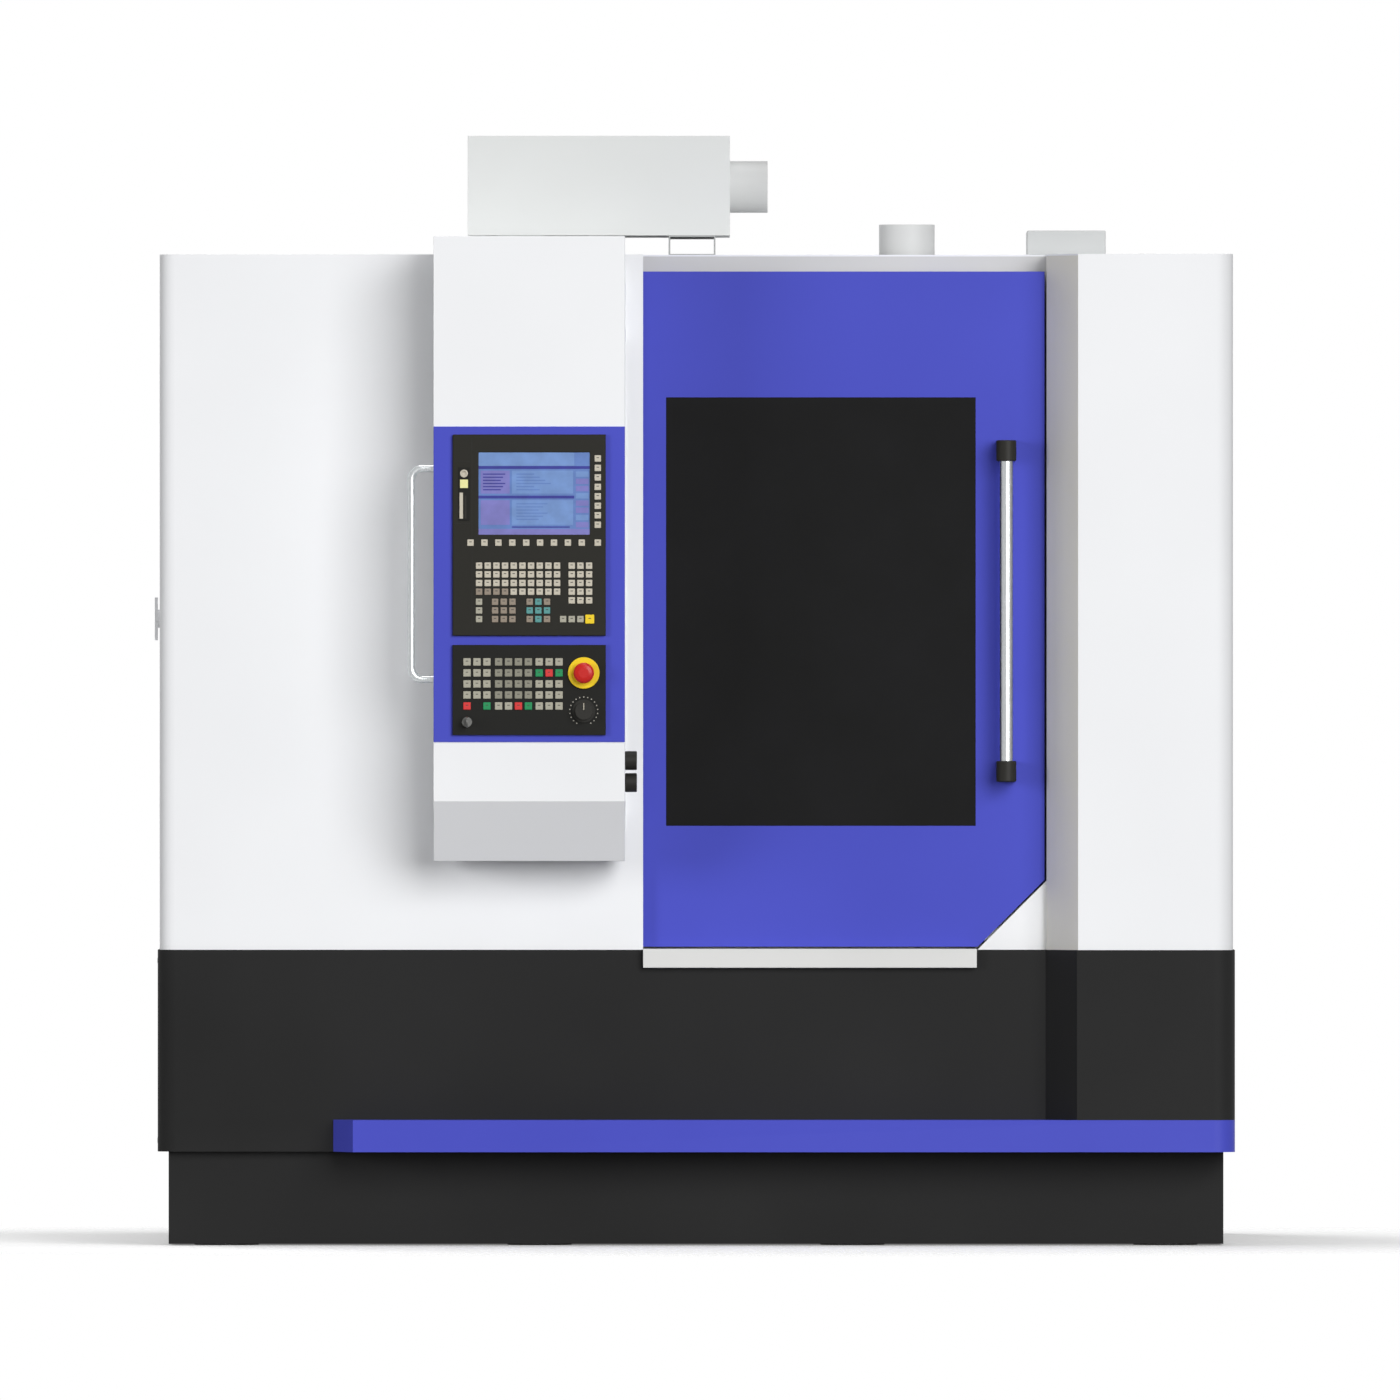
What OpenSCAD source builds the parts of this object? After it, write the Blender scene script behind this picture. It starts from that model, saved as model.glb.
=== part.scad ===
// CNC gear hobbing machine: cast bed, sheet metal enclosure, sliding door, swivelling
// operator pendant and hobbing mechanism. Millimetres, +Z up, front towards -Y.

/* [Enclosure] */
// Width of the white upper enclosure
body_w = 2148; // [2100:1:2300]
// Distance from the centre plane to the left front panel
front_plane = 780; // [760:1:840]
// How far the right front section stands ahead of the left one
front_step = 100; // [70:1:130]
// Distance from the centre plane to the rear panel
rear_plane = 1040; // [980:1:1120]
// Height of the roof above the floor
roof_z = 1984; // [1970:1:2100]
// Height of the joint between the lower and upper panels
belt_z = 592; // [580:1:640]
// Height of the plinth top
plinth_z = 188; // [160:1:220]
// Sheet thickness of the panels
sheet = 3; // [2:0.5:5]
// How far the lower panels stand proud of the upper ones
proud = 4; // [1:0.5:10]
// Radius of the left front corner
left_corner = 32; // [15:1:50]
// Radius of the right front corner
right_corner = 40; // [15:1:50]
// Distance that the front panels wrap round the corners
corner_wrap = 60; // [52:1:90]
// Width of the folded flanges of the lower panels
flange = 34; // [30:1:60]
// Recess of the plinth behind the panels
plinth_inset = 22; // [15:1:28]
// Width of the angled return beside the door
return_w = 62; // [40:1:90]
// Side of the square tubes of the enclosure frame
frame_tube = 40; // [30:1:50]
// Count of louvres in one column on the rear panel
louvre_count = 8; // [4:1:12]
// Length of one louvre
louvre_w = 260; // [150:1:320]

/* [Kick strip] */
// Left end of the kick strip
kick_x0 = -726; // [-800:1:-600]
// Width of its angled left return
kick_slope = 40; // [20:1:80]
// Height of the kick strip
kick_h = 64; // [50:1:90]

/* [Door] */
// Left edge of the front panel's door opening
open_x0 = -106; // [-140:1:-90]
// Right edge of the inner door frame
open_x1 = 562; // [520:1:600]
// Bottom of the inner door frame
open_z0 = 650; // [645:1:700]
// Top of the inner door frame
open_z1 = 1890; // [1840:1:1895]
// Right edge of the door
door_x1 = 698; // [680:1:720]
// Overlap of the closed door behind the left panel
door_lap = 54; // [30:1:80]
// Bottom edge of the door above the belt line
door_lift = 6; // [4:1:12]
// Top edge of the door
door_z1 = 1950; // [1946:1:1964]
// Corner cut at the lower right of the door
door_cut = 134; // [100:1:160]
// Recess of the door behind the left panel
door_recess = 22; // [18:1:30]
// Depth of the door pan
door_t = 40; // [25:1:45]
// Width of the folded rim at the back of the door
door_rim = 25; // [15:1:30]
// Gap between the door and the return beside it
door_gap = 4; // [3:0.5:8]
// Travel of the door
door_travel = 640; // [500:1:660]
// Left edge of the window
window_x0 = -60; // [-80:1:-40]
// Right edge of the window
window_x1 = 560; // [500:1:570]
// Bottom edge of the window
window_z0 = 840; // [780:1:900]
// Top edge of the window
window_z1 = 1698; // [1600:1:1760]
// Thickness of the window pane
glass_t = 8; // [5:1:12]
// Position of the door handle
handle_x = 621; // [605:1:640]
// Bottom of the door handle
handle_z0 = 928; // [850:1:960]
// Top of the door handle
handle_z1 = 1612; // [1560:1:1660]
// Diameter of the handle tube
handle_d = 27; // [20:1:34]
// Distance from the door to the handle's axis
handle_out = 55; // [45:1:60]
// Width of a handle cap
cap_w = 40; // [36:1:44]
// Height of a handle cap
cap_h = 42; // [36:1:50]
// Gap between the door and the inner frame
rail_gap = 28; // [24:1:36]
// Height of a door rail
rail_h = 25; // [20:1:32]
// Height of the sill's front face
sill_h = 38; // [30:1:46]
// Projection of the sill
sill_out = 20; // [12:1:30]

/* [Service door] */
// Front edge of the service door on the left side
side_door_y0 = -640; // [-680:1:-600]
// Width of the service door
side_door_w = 600; // [500:1:680]
// Bottom of the service door
side_door_z0 = 700; // [660:1:760]
// Height of the service door
side_door_h = 1160; // [1000:1:1200]
// Depth of the service door pan
side_door_t = 22; // [15:1:28]
// Gap round the service door
side_door_gap = 3; // [2:0.5:5]
// Height of the latch centre
latch_z = 1255; // [1200:1:1320]
// Length of the latch handle
latch_h = 86; // [70:1:100]
// Projection of the latch handle
latch_out = 12; // [8:1:18]

/* [Pendant] */
// Left side of the pendant
pend_x0 = -524; // [-540:1:-500]
// Right side of the pendant
pend_x1 = -142; // [-150:1:-138]
// Lowest edge of the pendant
pend_z0 = 770; // [720:1:800]
// Top of the pendant
pend_z1 = 2018; // [1980:1:2060]
// Gap between the front panel and the pendant
pend_gap = 40; // [36:1:50]
// Depth of the pendant
pend_d = 180; // [170:1:200]
// Wall of the pendant housing
pend_wall = 3; // [2:0.5:4]
// Height where the sloping underside starts
slope_z = 890; // [860:1:910]
// Set-back of the sloping underside
slope_in = 90; // [60:1:110]
// Bottom of the coloured faceplate
plate_z0 = 1008; // [1000:1:1012]
// Top of the coloured faceplate
plate_z1 = 1638; // [1630:1:1680]
// Thickness of the faceplate
plate_t = 3; // [2:0.5:5]
// Distance from the pendant's right side to its hinge axis
hinge_in = 14; // [12:1:18]
// Radius of the hinge pin
hinge_pin_r = 8; // [6:0.5:9]
// Radius of the hinge knuckles
hinge_r = 15; // [13:0.5:16]
// Height of one hinge knuckle
knuckle_h = 60; // [40:1:80]
// Diameter of the grip rod
grip_d = 15; // [12:1:18]
// Reach of the grip from the pendant
grip_out = 52; // [46:1:70]
// Bottom of the grip
grip_z0 = 1126; // [1080:1:1160]
// Top of the grip
grip_z1 = 1562; // [1500:1:1600]
// Bend radius of the grip
grip_bend = 22; // [16:1:30]
// Swelling of the grip rod at its bends
grip_swell = 0.5; // [0.3:0.1:1]
// Distance of the grip behind the pendant's front
grip_back = 40; // [30:1:60]
// Diameter of a side socket
socket_d = 38; // [30:1:40]
// Length of a side socket
socket_l = 24; // [18:1:30]
// Height of the lower side socket
socket_z = 927; // [915:1:935]
// Spacing of the side sockets
socket_pitch = 44; // [41:1:50]

/* [Controls] */
// Gap from the pendant's left side to the control panels
panel_in = 38; // [34:1:42]
// Width of the control panels
panel_w = 306; // [300:1:312]
// Thickness of the control panels
panel_t = 8; // [6:1:12]
// Bottom of the operator panel
op_z0 = 1220; // [1216:1:1224]
// Height of the operator panel
op_h = 402; // [398:1:410]
// Bottom of the machine panel
mp_z0 = 1022; // [1016:1:1026]
// Height of the machine panel
mp_h = 180; // [178:1:186]
// Width of the screen
screen_w = 222; // [210:1:224]
// Height of the screen
screen_h = 164; // [150:1:166]
// Gap from the panel's left edge to the screen
screen_in = 52; // [44:1:60]
// Gap from the panel's top edge to the screen
screen_drop = 36; // [28:1:42]
// Recess of the screen
screen_sink = 2; // [1:0.5:4]
// Height of the keys above their panel
key_rise = 2.5; // [1.5:0.5:4]
// Width of an operator key
key_w = 13; // [10:0.5:14.5]
// Spacing of the operator keys
key_pitch = 17.3; // [16.5:0.1:18]
// Distance from the panel's left edge to the letter keys
alpha_in = 53; // [46:0.5:60]
// Distance from the panel's top edge to the letter keys
alpha_drop = 262; // [258:0.5:266]
// Distance from the panel's right edge to the number keys
digit_in = 68; // [64:0.5:72]
// Distance from the panel's top edge to the lower keys
lower_drop = 334; // [332:0.5:340]
// Distance from the panel's right edge to the column of softkeys
soft_in = 16; // [12:0.5:18]
// Distance from the panel's top edge to the column of softkeys
soft_drop = 48; // [44:0.5:54]
// Spacing of the column of softkeys
soft_pitch = 18.9; // [17:0.1:19.2]
// Distance from the panel's left edge to the row of softkeys
row_in = 36; // [30:0.5:40]
// Distance from the panel's top edge to the row of softkeys
row_drop = 216; // [212:0.5:222]
// Spacing of the row of softkeys
row_pitch = 27.75; // [26:0.05:28]
// Distance from the first to the second block of lower keys
second_in = 32; // [28:0.5:36]
// Distance from the first to the cursor block of lower keys
cursor_in = 101; // [96:0.5:106]
// Distance from the number keys to the wide key
wide_in = 36; // [34:0.5:40]
// How much wider the wide key is than the others
wide_more = 5; // [3:0.5:8]
// Width of a machine key
mkey_w = 15; // [12:0.5:16.5]
// Spacing of the machine keys
mkey_pitch = 19.8; // [19:0.1:21]
// Spacing of the machine key rows
mkey_row = 22; // [20:0.1:23]
// Distance from the panel's left edge to the machine keys
mkey_in = 29; // [24:0.5:32]
// Distance from the panel's top edge to the machine keys
mkey_drop = 34; // [28:0.5:38]
// Distance from the first to the second group of machine keys
group2_in = 63; // [61:0.5:66]
// Distance from the first to the third group of machine keys
group3_in = 144; // [143:0.5:146]
// Distance from the panel's right edge to the emergency stop
estop_in = 44; // [40:0.5:46]
// Distance from the panel's top edge to the emergency stop
estop_drop = 56; // [50:0.5:58]
// Height of the override knob above the panel's lower edge
knob_lift = 48; // [44:0.5:52]
// Distance from the panel's left edge to the key switch
mode_in = 29; // [24:0.5:34]
// Height of the key switch above the panel's lower edge
mode_lift = 26; // [22:0.5:28]
// Diameter of the emergency stop collar
collar_d = 63; // [55:1:66]
// Thickness of the emergency stop collar
collar_t = 6; // [4:1:8]
// Diameter of the emergency stop button
button_d = 41; // [36:1:46]
// Height of the emergency stop button's head
button_h = 18; // [12:1:22]
// Diameter of the emergency stop stem
stem_d = 24; // [18:1:28]
// Travel of the emergency stop button
button_travel = 5; // [3:0.5:6]
// Diameter of the override knob
knob_d = 46; // [40:1:50]
// Height of the override knob
knob_h = 22; // [16:1:26]

/* [Roof] */
// Left end of the mist collector
mist_x0 = -458; // [-500:1:-430]
// Length of the mist collector
mist_w = 526; // [480:1:560]
// Depth of the mist collector
mist_d = 400; // [300:1:500]
// Height of the mist collector
mist_h = 200; // [180:1:240]
// Front of the mist collector
mist_y0 = -600; // [-640:1:-560]
// Outside diameter of the mist outlet
outlet_d = 104; // [90:1:120]
// Length of the mist outlet
outlet_l = 76; // [60:1:100]
// Wall of the roof ducts
duct_wall = 2; // [1.5:0.5:4]
// Height of the mist collector stands
stand_h = 40; // [30:1:60]
// Width of a mist collector stand
stand_w = 94; // [70:1:110]
// Inset of the stands from the ends of the collector
stand_in = 58; // [30:1:80]
// Position of the roof duct
duct_x = 424; // [380:1:460]
// Outside diameter of the roof duct
duct_d = 112; // [90:1:130]
// Height of the roof duct
duct_h = 64; // [50:1:90]
// Gap between the roof box and the right side of the enclosure
rbox_gap = 252; // [200:1:300]
// Length of the roof box
rbox_w = 158; // [120:1:180]
// Depth of the roof box
rbox_d = 220; // [160:1:260]
// Height of the roof box
rbox_h = 50; // [40:1:70]

/* [Bed] */
// Gap between the floor and the plinth edge
floor_gap = 3; // [2:1:14]
// Wall of the bed casting
bed_wall = 28; // [20:1:36]
// Top of the raised platform
bed_z = 500; // [480:1:510]
// Half depth of the raised platform
bed_hd = 340; // [320:1:380]
// Thickness of the platform's top slab
bed_slab = 125; // [120:1:140]
// Diameter of a levelling pad
foot_d = 130; // [100:1:150]
// Height of a levelling pad
foot_h = 20; // [16:1:24]
// Distance of the levelling pads from the edges of the bed
foot_in = 115; // [105:1:160]
// Diameter of a levelling stud
stud_d = 24; // [16:1:30]
// Length of a levelling stud
stud_l = 100; // [60:1:120]

/* [Column] */
// Position of the work axis from left to right
work_x = 260; // [240:1:270]
// Position of the work axis from front to back
work_y = -100; // [-110:1:-90]
// Rest distance from the hob axis to the work axis
centre_rest = 300; // [295:1:310]
// Gap between the column at rest and the left side of the enclosure
column_gap = 161; // [150:1:200]
// Half width of the column casting
column_hw = 280; // [260:1:300]
// Top of the column casting
column_z = 1640; // [1630:1:1680]
// Wall of the column casting
column_wall = 40; // [30:1:50]
// Width of the guide rails
guide_w = 45; // [35:1:50]
// Height of the guide rails
guide_h = 35; // [30:1:40]
// Spacing of the X guide rails
guide_pitch = 440; // [400:1:460]
// Spacing of the Z guide ways
way_pitch = 300; // [280:1:340]
// Diameter of the ball screws
screw_d = 40; // [32:1:44]
// Side of the servo motors
motor_w = 110; // [90:1:116]
// Length of the servo motors
motor_l = 170; // [140:1:180]
// Running clearance of shafts in their bearings
run_fit = 0.05; // [0.02:0.01:0.1]
// Clearance of sliding guides and ball nuts
slide_fit = 0.3; // [0.2:0.05:0.6]

/* [Hob head] */
// Rest height of the hob axis
head_z = 1200; // [1190:1:1220]
// Half height of the vertical carriage
carriage_hh = 170; // [160:1:180]
// Half width of the vertical carriage
carriage_hw = 230; // [215:1:250]
// Thickness of the vertical carriage
carriage_t = 60; // [50:1:70]
// Radius of the swivel disc
swivel_r = 165; // [140:1:169]
// Thickness of the swivel disc
swivel_t = 40; // [30:1:45]
// Half height of the shift slideway
shift_hh = 80; // [70:1:90]
// Thickness of the shift slideway and slide
shift_t = 35; // [30:1:40]
// Radius of the spindle housing
spindle_r = 62; // [55:1:63]
// Length of the spindle drive housing
spindle_l = 155; // [140:1:165]
// Radius of the spindle motor
spindle_motor_r = 55; // [45:1:60]
// Length of the spindle motor
spindle_motor_l = 70; // [50:1:75]
// Length of the outboard bearing housing
outboard_l = 85; // [70:1:100]
// Diameter of the hob
hob_d = 90; // [80:1:100]
// Length of the hob
hob_l = 120; // [100:1:124]
// Axial pitch of the hob teeth
hob_pitch = 12.57; // [10:0.01:16]
// Depth of the hob teeth
tooth_h = 9; // [6:0.5:12]
// Count of tooth rows round the hob
hob_rows = 10; // [8:1:14]
// Thickness of one tooth row
row_t = 13; // [9:0.5:14]
// Diameter of the hob arbor
arbor_d = 32; // [24:1:36]
// Length of a spacing collar on the arbor
arbor_collar = 14; // [10:1:16]

/* [Work table] */
// Radius of the table plate
table_r = 130; // [110:1:132]
// Thickness of the table plate
table_t = 40; // [30:1:50]
// Height of the table's top face
table_z = 820; // [800:1:825]
// Radius of the table base
table_base_r = 180; // [160:1:190]
// Diameter of the table journal
journal_d = 120; // [100:1:130]
// Length of the table journal
journal_l = 90; // [70:1:110]
// Width of the slots in the table
slot_w = 14; // [10:1:18]
// Depth of the slots in the table
slot_h = 16; // [10:1:20]
// Diameter of the work arbor
work_arbor_d = 40; // [30:1:44]
// Diameter of the work arbor's flange
work_flange_d = 110; // [90:1:120]
// Height of the work arbor above the table
work_arbor_h = 330; // [280:1:332]

/* [Tailstock] */
// Distance from the work axis to the tailstock column
tail_reach = 400; // [380:1:420]
// Gap between the tailstock column and the right side of the enclosure
tail_gap = 94; // [84:1:140]
// Half width of the tailstock column
tail_hw = 180; // [160:1:200]
// Top of the tailstock column
tail_z = 1800; // [1780:1:1850]
// Rest height of the centre's tip
tip_z = 1350; // [1345:1:1380]
// Radius of the arm's boss
boss_r = 80; // [70:1:81]
// Height of the arm's boss
boss_h = 140; // [120:1:160]
// Half thickness of the arm
arm_hw = 70; // [60:1:79]
// Radius of the quill
quill_r = 42; // [36:1:50]
// Diameter of the live centre's shank
shank_d = 44; // [36:1:50]
// Length of the live centre's cone
cone_l = 32; // [24:1:40]

/* [Hidden] */
$fn = 64;
// Overshoot of cutting shapes
over = 1;

// Colours of the preview
white = [0.95, 0.95, 0.96];
blue = [0.31, 0.33, 0.77];
black = [0.19, 0.19, 0.19];
grey = [0.62, 0.63, 0.63];
metal = [0.75, 0.76, 0.77];
cast = [0.52, 0.56, 0.58];

// Steps in a rounded corner
corner_steps = 6;
// Clearances and offsets of the enclosure
sill_lip = 2;
rail_clear = 6;
door_play = 6;
kick_clear = 2;
platform_left = 64;
platform_right = 74;
liner_back = 190;
liner_gap = 160;
liner_lift = 6;
liner_ring = 6;
side_hinge_in = 2;
side_hinge_end = 120;
latch_in = 60;
hinge_end = 120;
bracket_t = 4;
knuckle_play = 1;
socket_back = 60;
duct_flange = 30;
// Knob and key switch
knob_skirt = 4;
knob_step = 6;
pointer_hw = 1.5;
pointer_h = 3;
barrel_r = 10;
barrel_h = 6;
key_t = 3;
key_neck = 8;
bow_r = 11;
// Motors, screws and guides
motor_clear = 20;
motor_lift = 12;
motor_face = 12;
motor_step = 8;
plug_w = 40;
plug_t = 22;
plug_in = 10;
trough_clear = 3;
block_t = 15;
block_cheek = 5;
block_w = 2 * (guide_w + block_cheek);
block_drop = guide_h - block_cheek;
rail_end = 10;
x_nut_hl = 50;
z_nut_hl = 40;
nut_trim = 5;
// Column casting
z_screw_in = 90;
z_trough_in = 60;
z_trough_hw = 70;
x_rib_in = 85;
x_rib_out = 80;
z_rib_lift = 100;
way_lift = 120;
way_drop = 8;
core_hole_z = 300;
core_hole_r = 90;
column_top_l = 320;
column_back_h = 350;
// Hob head
hob_clear = 8;
pivot_floor = 20;
way_end = 20;
clamp_in = 20;
clamp_r = 12;
clamp_h = 12;
gib_end = 30;
outboard_step = 8;
arbor_in = 40;
collar_step = 8;
core_step = 4;
pressure_angle = 20;
// Table, arbor and tailstock
base_foot = 40;
base_band = 60;
base_neck = 130;
neck_step = 12;
slot_start = 6;
flange_t = 24;
shoulder_h = 110;
shoulder_step = 8;
arbor_chamfer = 4;
centre_hole_r = 8;
centre_hole_h = 14;
centre_neck = 16;
quill_l = 30;
nose_step = 10;
cone_step = 8;
shank_gap = 2;
tail_way_drop = 200;
tail_way_end = 10;
arm_trim = 10;

// Main planes
half_w = body_w / 2;
p1 = -front_plane;
p2 = p1 - front_step;
roof_under = roof_z - sheet;
side_y0 = p1 + corner_wrap;
inner_w = half_w - sheet;
return_x0 = door_x1 + door_gap;
return_x1 = return_x0 + return_w;

// Door planes
door_front = p1 + door_recess;
door_back = door_front + door_t;
door_frame_y = door_back + rail_gap;
door_x0 = open_x0 - door_lap;
door_z0 = belt_z + door_lift;
pocket_x0 = door_x0 - door_travel - 2 * door_rim;
handle_y = door_front - handle_out;
sill_z1 = belt_z + sill_lip;
sill_z0 = sill_z1 - sill_h;
rail_t = rail_gap - rail_clear;
rail_edge = 15;
upper_rail_z = open_z1 + rail_edge;
lower_rail_z = open_z0 - rail_edge - rail_h;
shoe_w = 120;
shoe_lip = 12;

// Pendant planes
pend_back = p1 - pend_gap;
pend_front = pend_back - pend_d;
plate_front = pend_front - plate_t;
panel_front = plate_front - panel_t;
panel_x0 = pend_x0 + panel_in;
panel_x1 = panel_x0 + panel_w;
hinge_x = pend_x1 - hinge_in;
hinge_y = (p1 + pend_back) / 2;
op_z1 = op_z0 + op_h;
mp_z1 = mp_z0 + mp_h;
screen_x0 = panel_x0 + screen_in;
screen_z1 = op_z1 - screen_drop;
screen_z0 = screen_z1 - screen_h;
estop_x = panel_x1 - estop_in;
estop_z = mp_z1 - estop_drop;
button_gap = 1;
rim_cut = 2;
knob_x = estop_x;
knob_z = mp_z0 + knob_lift;
mode_x = panel_x0 + mode_in;
mode_z = mp_z0 + mode_lift;

// Bed and screw planes
bed_hw = half_w + proud - plinth_inset;
bed_y0 = p1 - proud + plinth_inset + kick_clear;
bed_y1 = rear_plane + proud - plinth_inset;
bed_x0 = -half_w + platform_left;
bed_x1 = half_w - platform_right;
bed_core_z = bed_z - bed_slab;
trough_hw = motor_w / 2 + motor_clear;
screw_z = bed_z - motor_w / 2 + motor_lift;
trough_z = screw_z - motor_w / 2 - trough_clear;
foot_span = 2 * (bed_hw - foot_in);
foot_x = [for (i = [0 : 3]) -foot_span / 2 + i * foot_span / 3];
foot_spots = [for (x = foot_x, y = [bed_y0 + foot_in, bed_y1 - foot_in]) [x, y]];

// Column planes at rest
hob_x = work_x - centre_rest;
slide_x1 = hob_x - hob_d / 2 - hob_clear;
slide_x0 = slide_x1 - shift_t;
swivel_x1 = slide_x0 - shift_t;
swivel_x0 = swivel_x1 - swivel_t;
carriage_x0 = swivel_x0 - carriage_t;
column_x1 = carriage_x0 - guide_h - block_t;
way_top = carriage_x0 - block_t;
column_x0 = column_gap - half_w;
column_l = column_x1 - column_x0;
column_mid = (column_x0 + column_x1) / 2;
column_z0 = bed_z + guide_h + block_t;
rail_top = bed_z + guide_h;
z_screw_x = column_x1 - z_screw_in;
z_trough_x = z_screw_x - z_trough_in;
rib_t = 30;
rib_x1 = column_x0 + x_rib_in;
rib_x2 = column_x1 + x_rib_out;
z_rib_z = column_z0 + z_rib_lift;
way_z0 = z_rib_z + way_lift;
way_z1 = column_z - way_drop;
block_l = 110;
nut_hw = 45;

// Work side planes
table_under = table_z - table_t;
tail_x0 = work_x + tail_reach;
tail_x1 = half_w - tail_gap;
tail_way = 20;
saddle_t = 40;
saddle_x1 = tail_x0 - tail_way;
saddle_x0 = saddle_x1 - saddle_t;
quill_z = tip_z + cone_l + centre_neck;
boss_z = quill_z + quill_l;
saddle_hh = 125;
saddle_z = boss_z + boss_h / 2;
liner_y = work_y + bed_hd + liner_back;
liner_x0 = column_x1 + liner_gap;
liner_x1 = saddle_x1;
liner_z = sill_z0 + liner_lift;

// Box between two corners
module block(a, b) {
    translate(a) cube(b - a);
}

// Cylinder along X from a point
module x_cyl(p, r, l) {
    translate(p) rotate([0, 90, 0]) cylinder(r = r, h = l);
}

// Cylinder along Y from a point
module y_cyl(p, r, l) {
    translate(p) rotate([-90, 0, 0]) cylinder(r = r, h = l);
}

// Points of an arc
function arc(cx, cy, r, a0, a1, n) =
    [for (i = [0 : n]) let (a = a0 + (a1 - a0) * i / n) [cx + r * cos(a), cy + r * sin(a)]];

// Fold line offset to its left by t, with mitred corners
function normal(a, b) = let (d = (b - a) / norm(b - a)) [-d[1], d[0]];
function mitre(p, i, t) =
    i == 0 ? p[0] + t * normal(p[0], p[1])
    : i == len(p) - 1 ? p[i] + t * normal(p[i - 1], p[i])
    : let (m = normal(p[i - 1], p[i]), n = normal(p[i], p[i + 1])) p[i] + t * (m + n) / (1 + m * n);
function shifted(p, t) = [for (i = [0 : len(p) - 1]) mitre(p, i, t)];

// Upright sheet folded along a plan line
module folded(p, z0, z1, t = sheet) {
    inside = shifted(p, t);
    translate([0, 0, z0])
        linear_extrude(z1 - z0)
            polygon(concat(p, [for (i = [len(p) - 1 : -1 : 0]) inside[i]]));
}

// Plan lines of the front, from left to right
left_line = concat([[-half_w, side_y0]],
    arc(-half_w + left_corner, p1 + left_corner, left_corner, 180, 270, corner_steps));
right_line = concat(arc(half_w - right_corner, p2 + right_corner, right_corner, 270, 360, corner_steps),
    [[half_w, side_y0]]);
return_line = [[return_x0, p1], [return_x1, p2]];
front_line = shifted(concat(left_line, return_line, right_line), -proud);

// Cast bed with plinth skirt, raised platform and screw trough
module bed() color(black) {
    difference() {
        union() {
            bed_skirt();
            bed_platform();
            for (p = foot_spots)
                translate([p[0], p[1], foot_h])
                    cylinder(d = foot_d, h = plinth_z - foot_h);
        }
        for (p = foot_spots)
            translate([p[0], p[1], foot_h - over])
                cylinder(d = stud_d + 2 * slide_fit, h = stud_l + 2 * over);
    }
}

// Plinth skirt, open below, with cross ribs
module bed_skirt() {
    difference() {
        block([-bed_hw, bed_y0, floor_gap], [bed_hw, bed_y1, plinth_z]);
        block([-bed_hw + bed_wall, bed_y0 + bed_wall, floor_gap - over],
            [bed_hw - bed_wall, bed_y1 - bed_wall, plinth_z - bed_wall]);
    }
    for (x = [foot_x[1], foot_x[2]])
        block([x - bed_wall / 2, bed_y0, floor_gap + bed_wall], [x + bed_wall / 2, bed_y1, plinth_z]);
}

// Raised platform with a core below and a trough for the X screw
module bed_platform() {
    difference() {
        block([bed_x0, work_y - bed_hd, plinth_z], [bed_x1, work_y + bed_hd, bed_z]);
        block([bed_x0 + bed_wall, work_y - bed_hd + bed_wall, plinth_z],
            [bed_x1 - bed_wall, work_y + bed_hd - bed_wall, bed_core_z]);
        block([bed_x0 - over, work_y - trough_hw, trough_z],
            [rib_x2 + rib_t, work_y + trough_hw, bed_z + over]);
    }
    for (x = [rib_x1, rib_x2])
        difference() {
            block([x, work_y - trough_hw, trough_z], [x + rib_t, work_y + trough_hw, bed_z]);
            x_cyl([x - over, work_y, screw_z], screw_d / 2 + run_fit, rib_t + 2 * over);
        }
}

// Levelling pads with their studs
module levelling_feet() color(metal) {
    for (p = foot_spots)
        translate([p[0], p[1], 0]) {
            cylinder(d = foot_d, h = foot_h);
            cylinder(d = stud_d, h = foot_h + stud_l);
        }
}

// Welded square tube frame behind the panels
frame_x = half_w + proud - sheet - flange;
frame_y0 = door_frame_y + sheet;
frame_y1 = rear_plane + proud - sheet - flange;
door_post_x = [open_x0 - sheet - frame_tube, open_x1 + sheet];
module enclosure_frame() color(grey) {
    for (x = concat([-frame_x, frame_x - frame_tube], door_post_x))
        block([x, frame_y0, plinth_z], [x + frame_tube, frame_y0 + frame_tube, roof_under]);
    for (x = [-frame_x, frame_x - frame_tube]) {
        block([x, frame_y1 - frame_tube, plinth_z], [x + frame_tube, frame_y1, roof_under]);
        block([x, frame_y0, roof_under - frame_tube], [x + frame_tube, frame_y1, roof_under]);
    }
    for (y = [frame_y0, frame_y1 - frame_tube])
        block([-frame_x, y, roof_under - frame_tube], [frame_x, y + frame_tube, roof_under]);
}

// Black front panel, folded round both corners, with a notch for the sill
module lower_front_panel() color(black) {
    kick_z = plinth_z + kick_h;
    difference() {
        union() {
            folded(front_line, kick_z, belt_z);
            folded(concat(shifted(left_line, -proud), [[return_x0, p1 - proud]]), plinth_z, kick_z);
            block([-frame_x, p1 - proud, plinth_z], [return_x0, bed_y0 + flange, plinth_z + sheet]);
            block([-frame_x, p1 - proud, belt_z - sheet], [return_x0, door_frame_y, belt_z]);
            block([return_x1, p2 - proud, belt_z - sheet], [half_w - right_corner, p2 + flange, belt_z]);
        }
        block([open_x0, p1 - proud - over, sill_z0], [open_x1, door_frame_y + over, sill_z1]);
    }
}

// Side panel of the lower band with folded flanges, drawn on the left
module lower_side() {
    x0 = -half_w - proud;
    y1 = rear_plane + proud - sheet;
    block([x0, side_y0, plinth_z], [x0 + sheet, y1, belt_z]);
    for (z = [plinth_z, belt_z - sheet])
        block([x0, side_y0, z], [-frame_x, y1, z + sheet]);
}

module lower_left_panel() color(black) lower_side();

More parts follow.
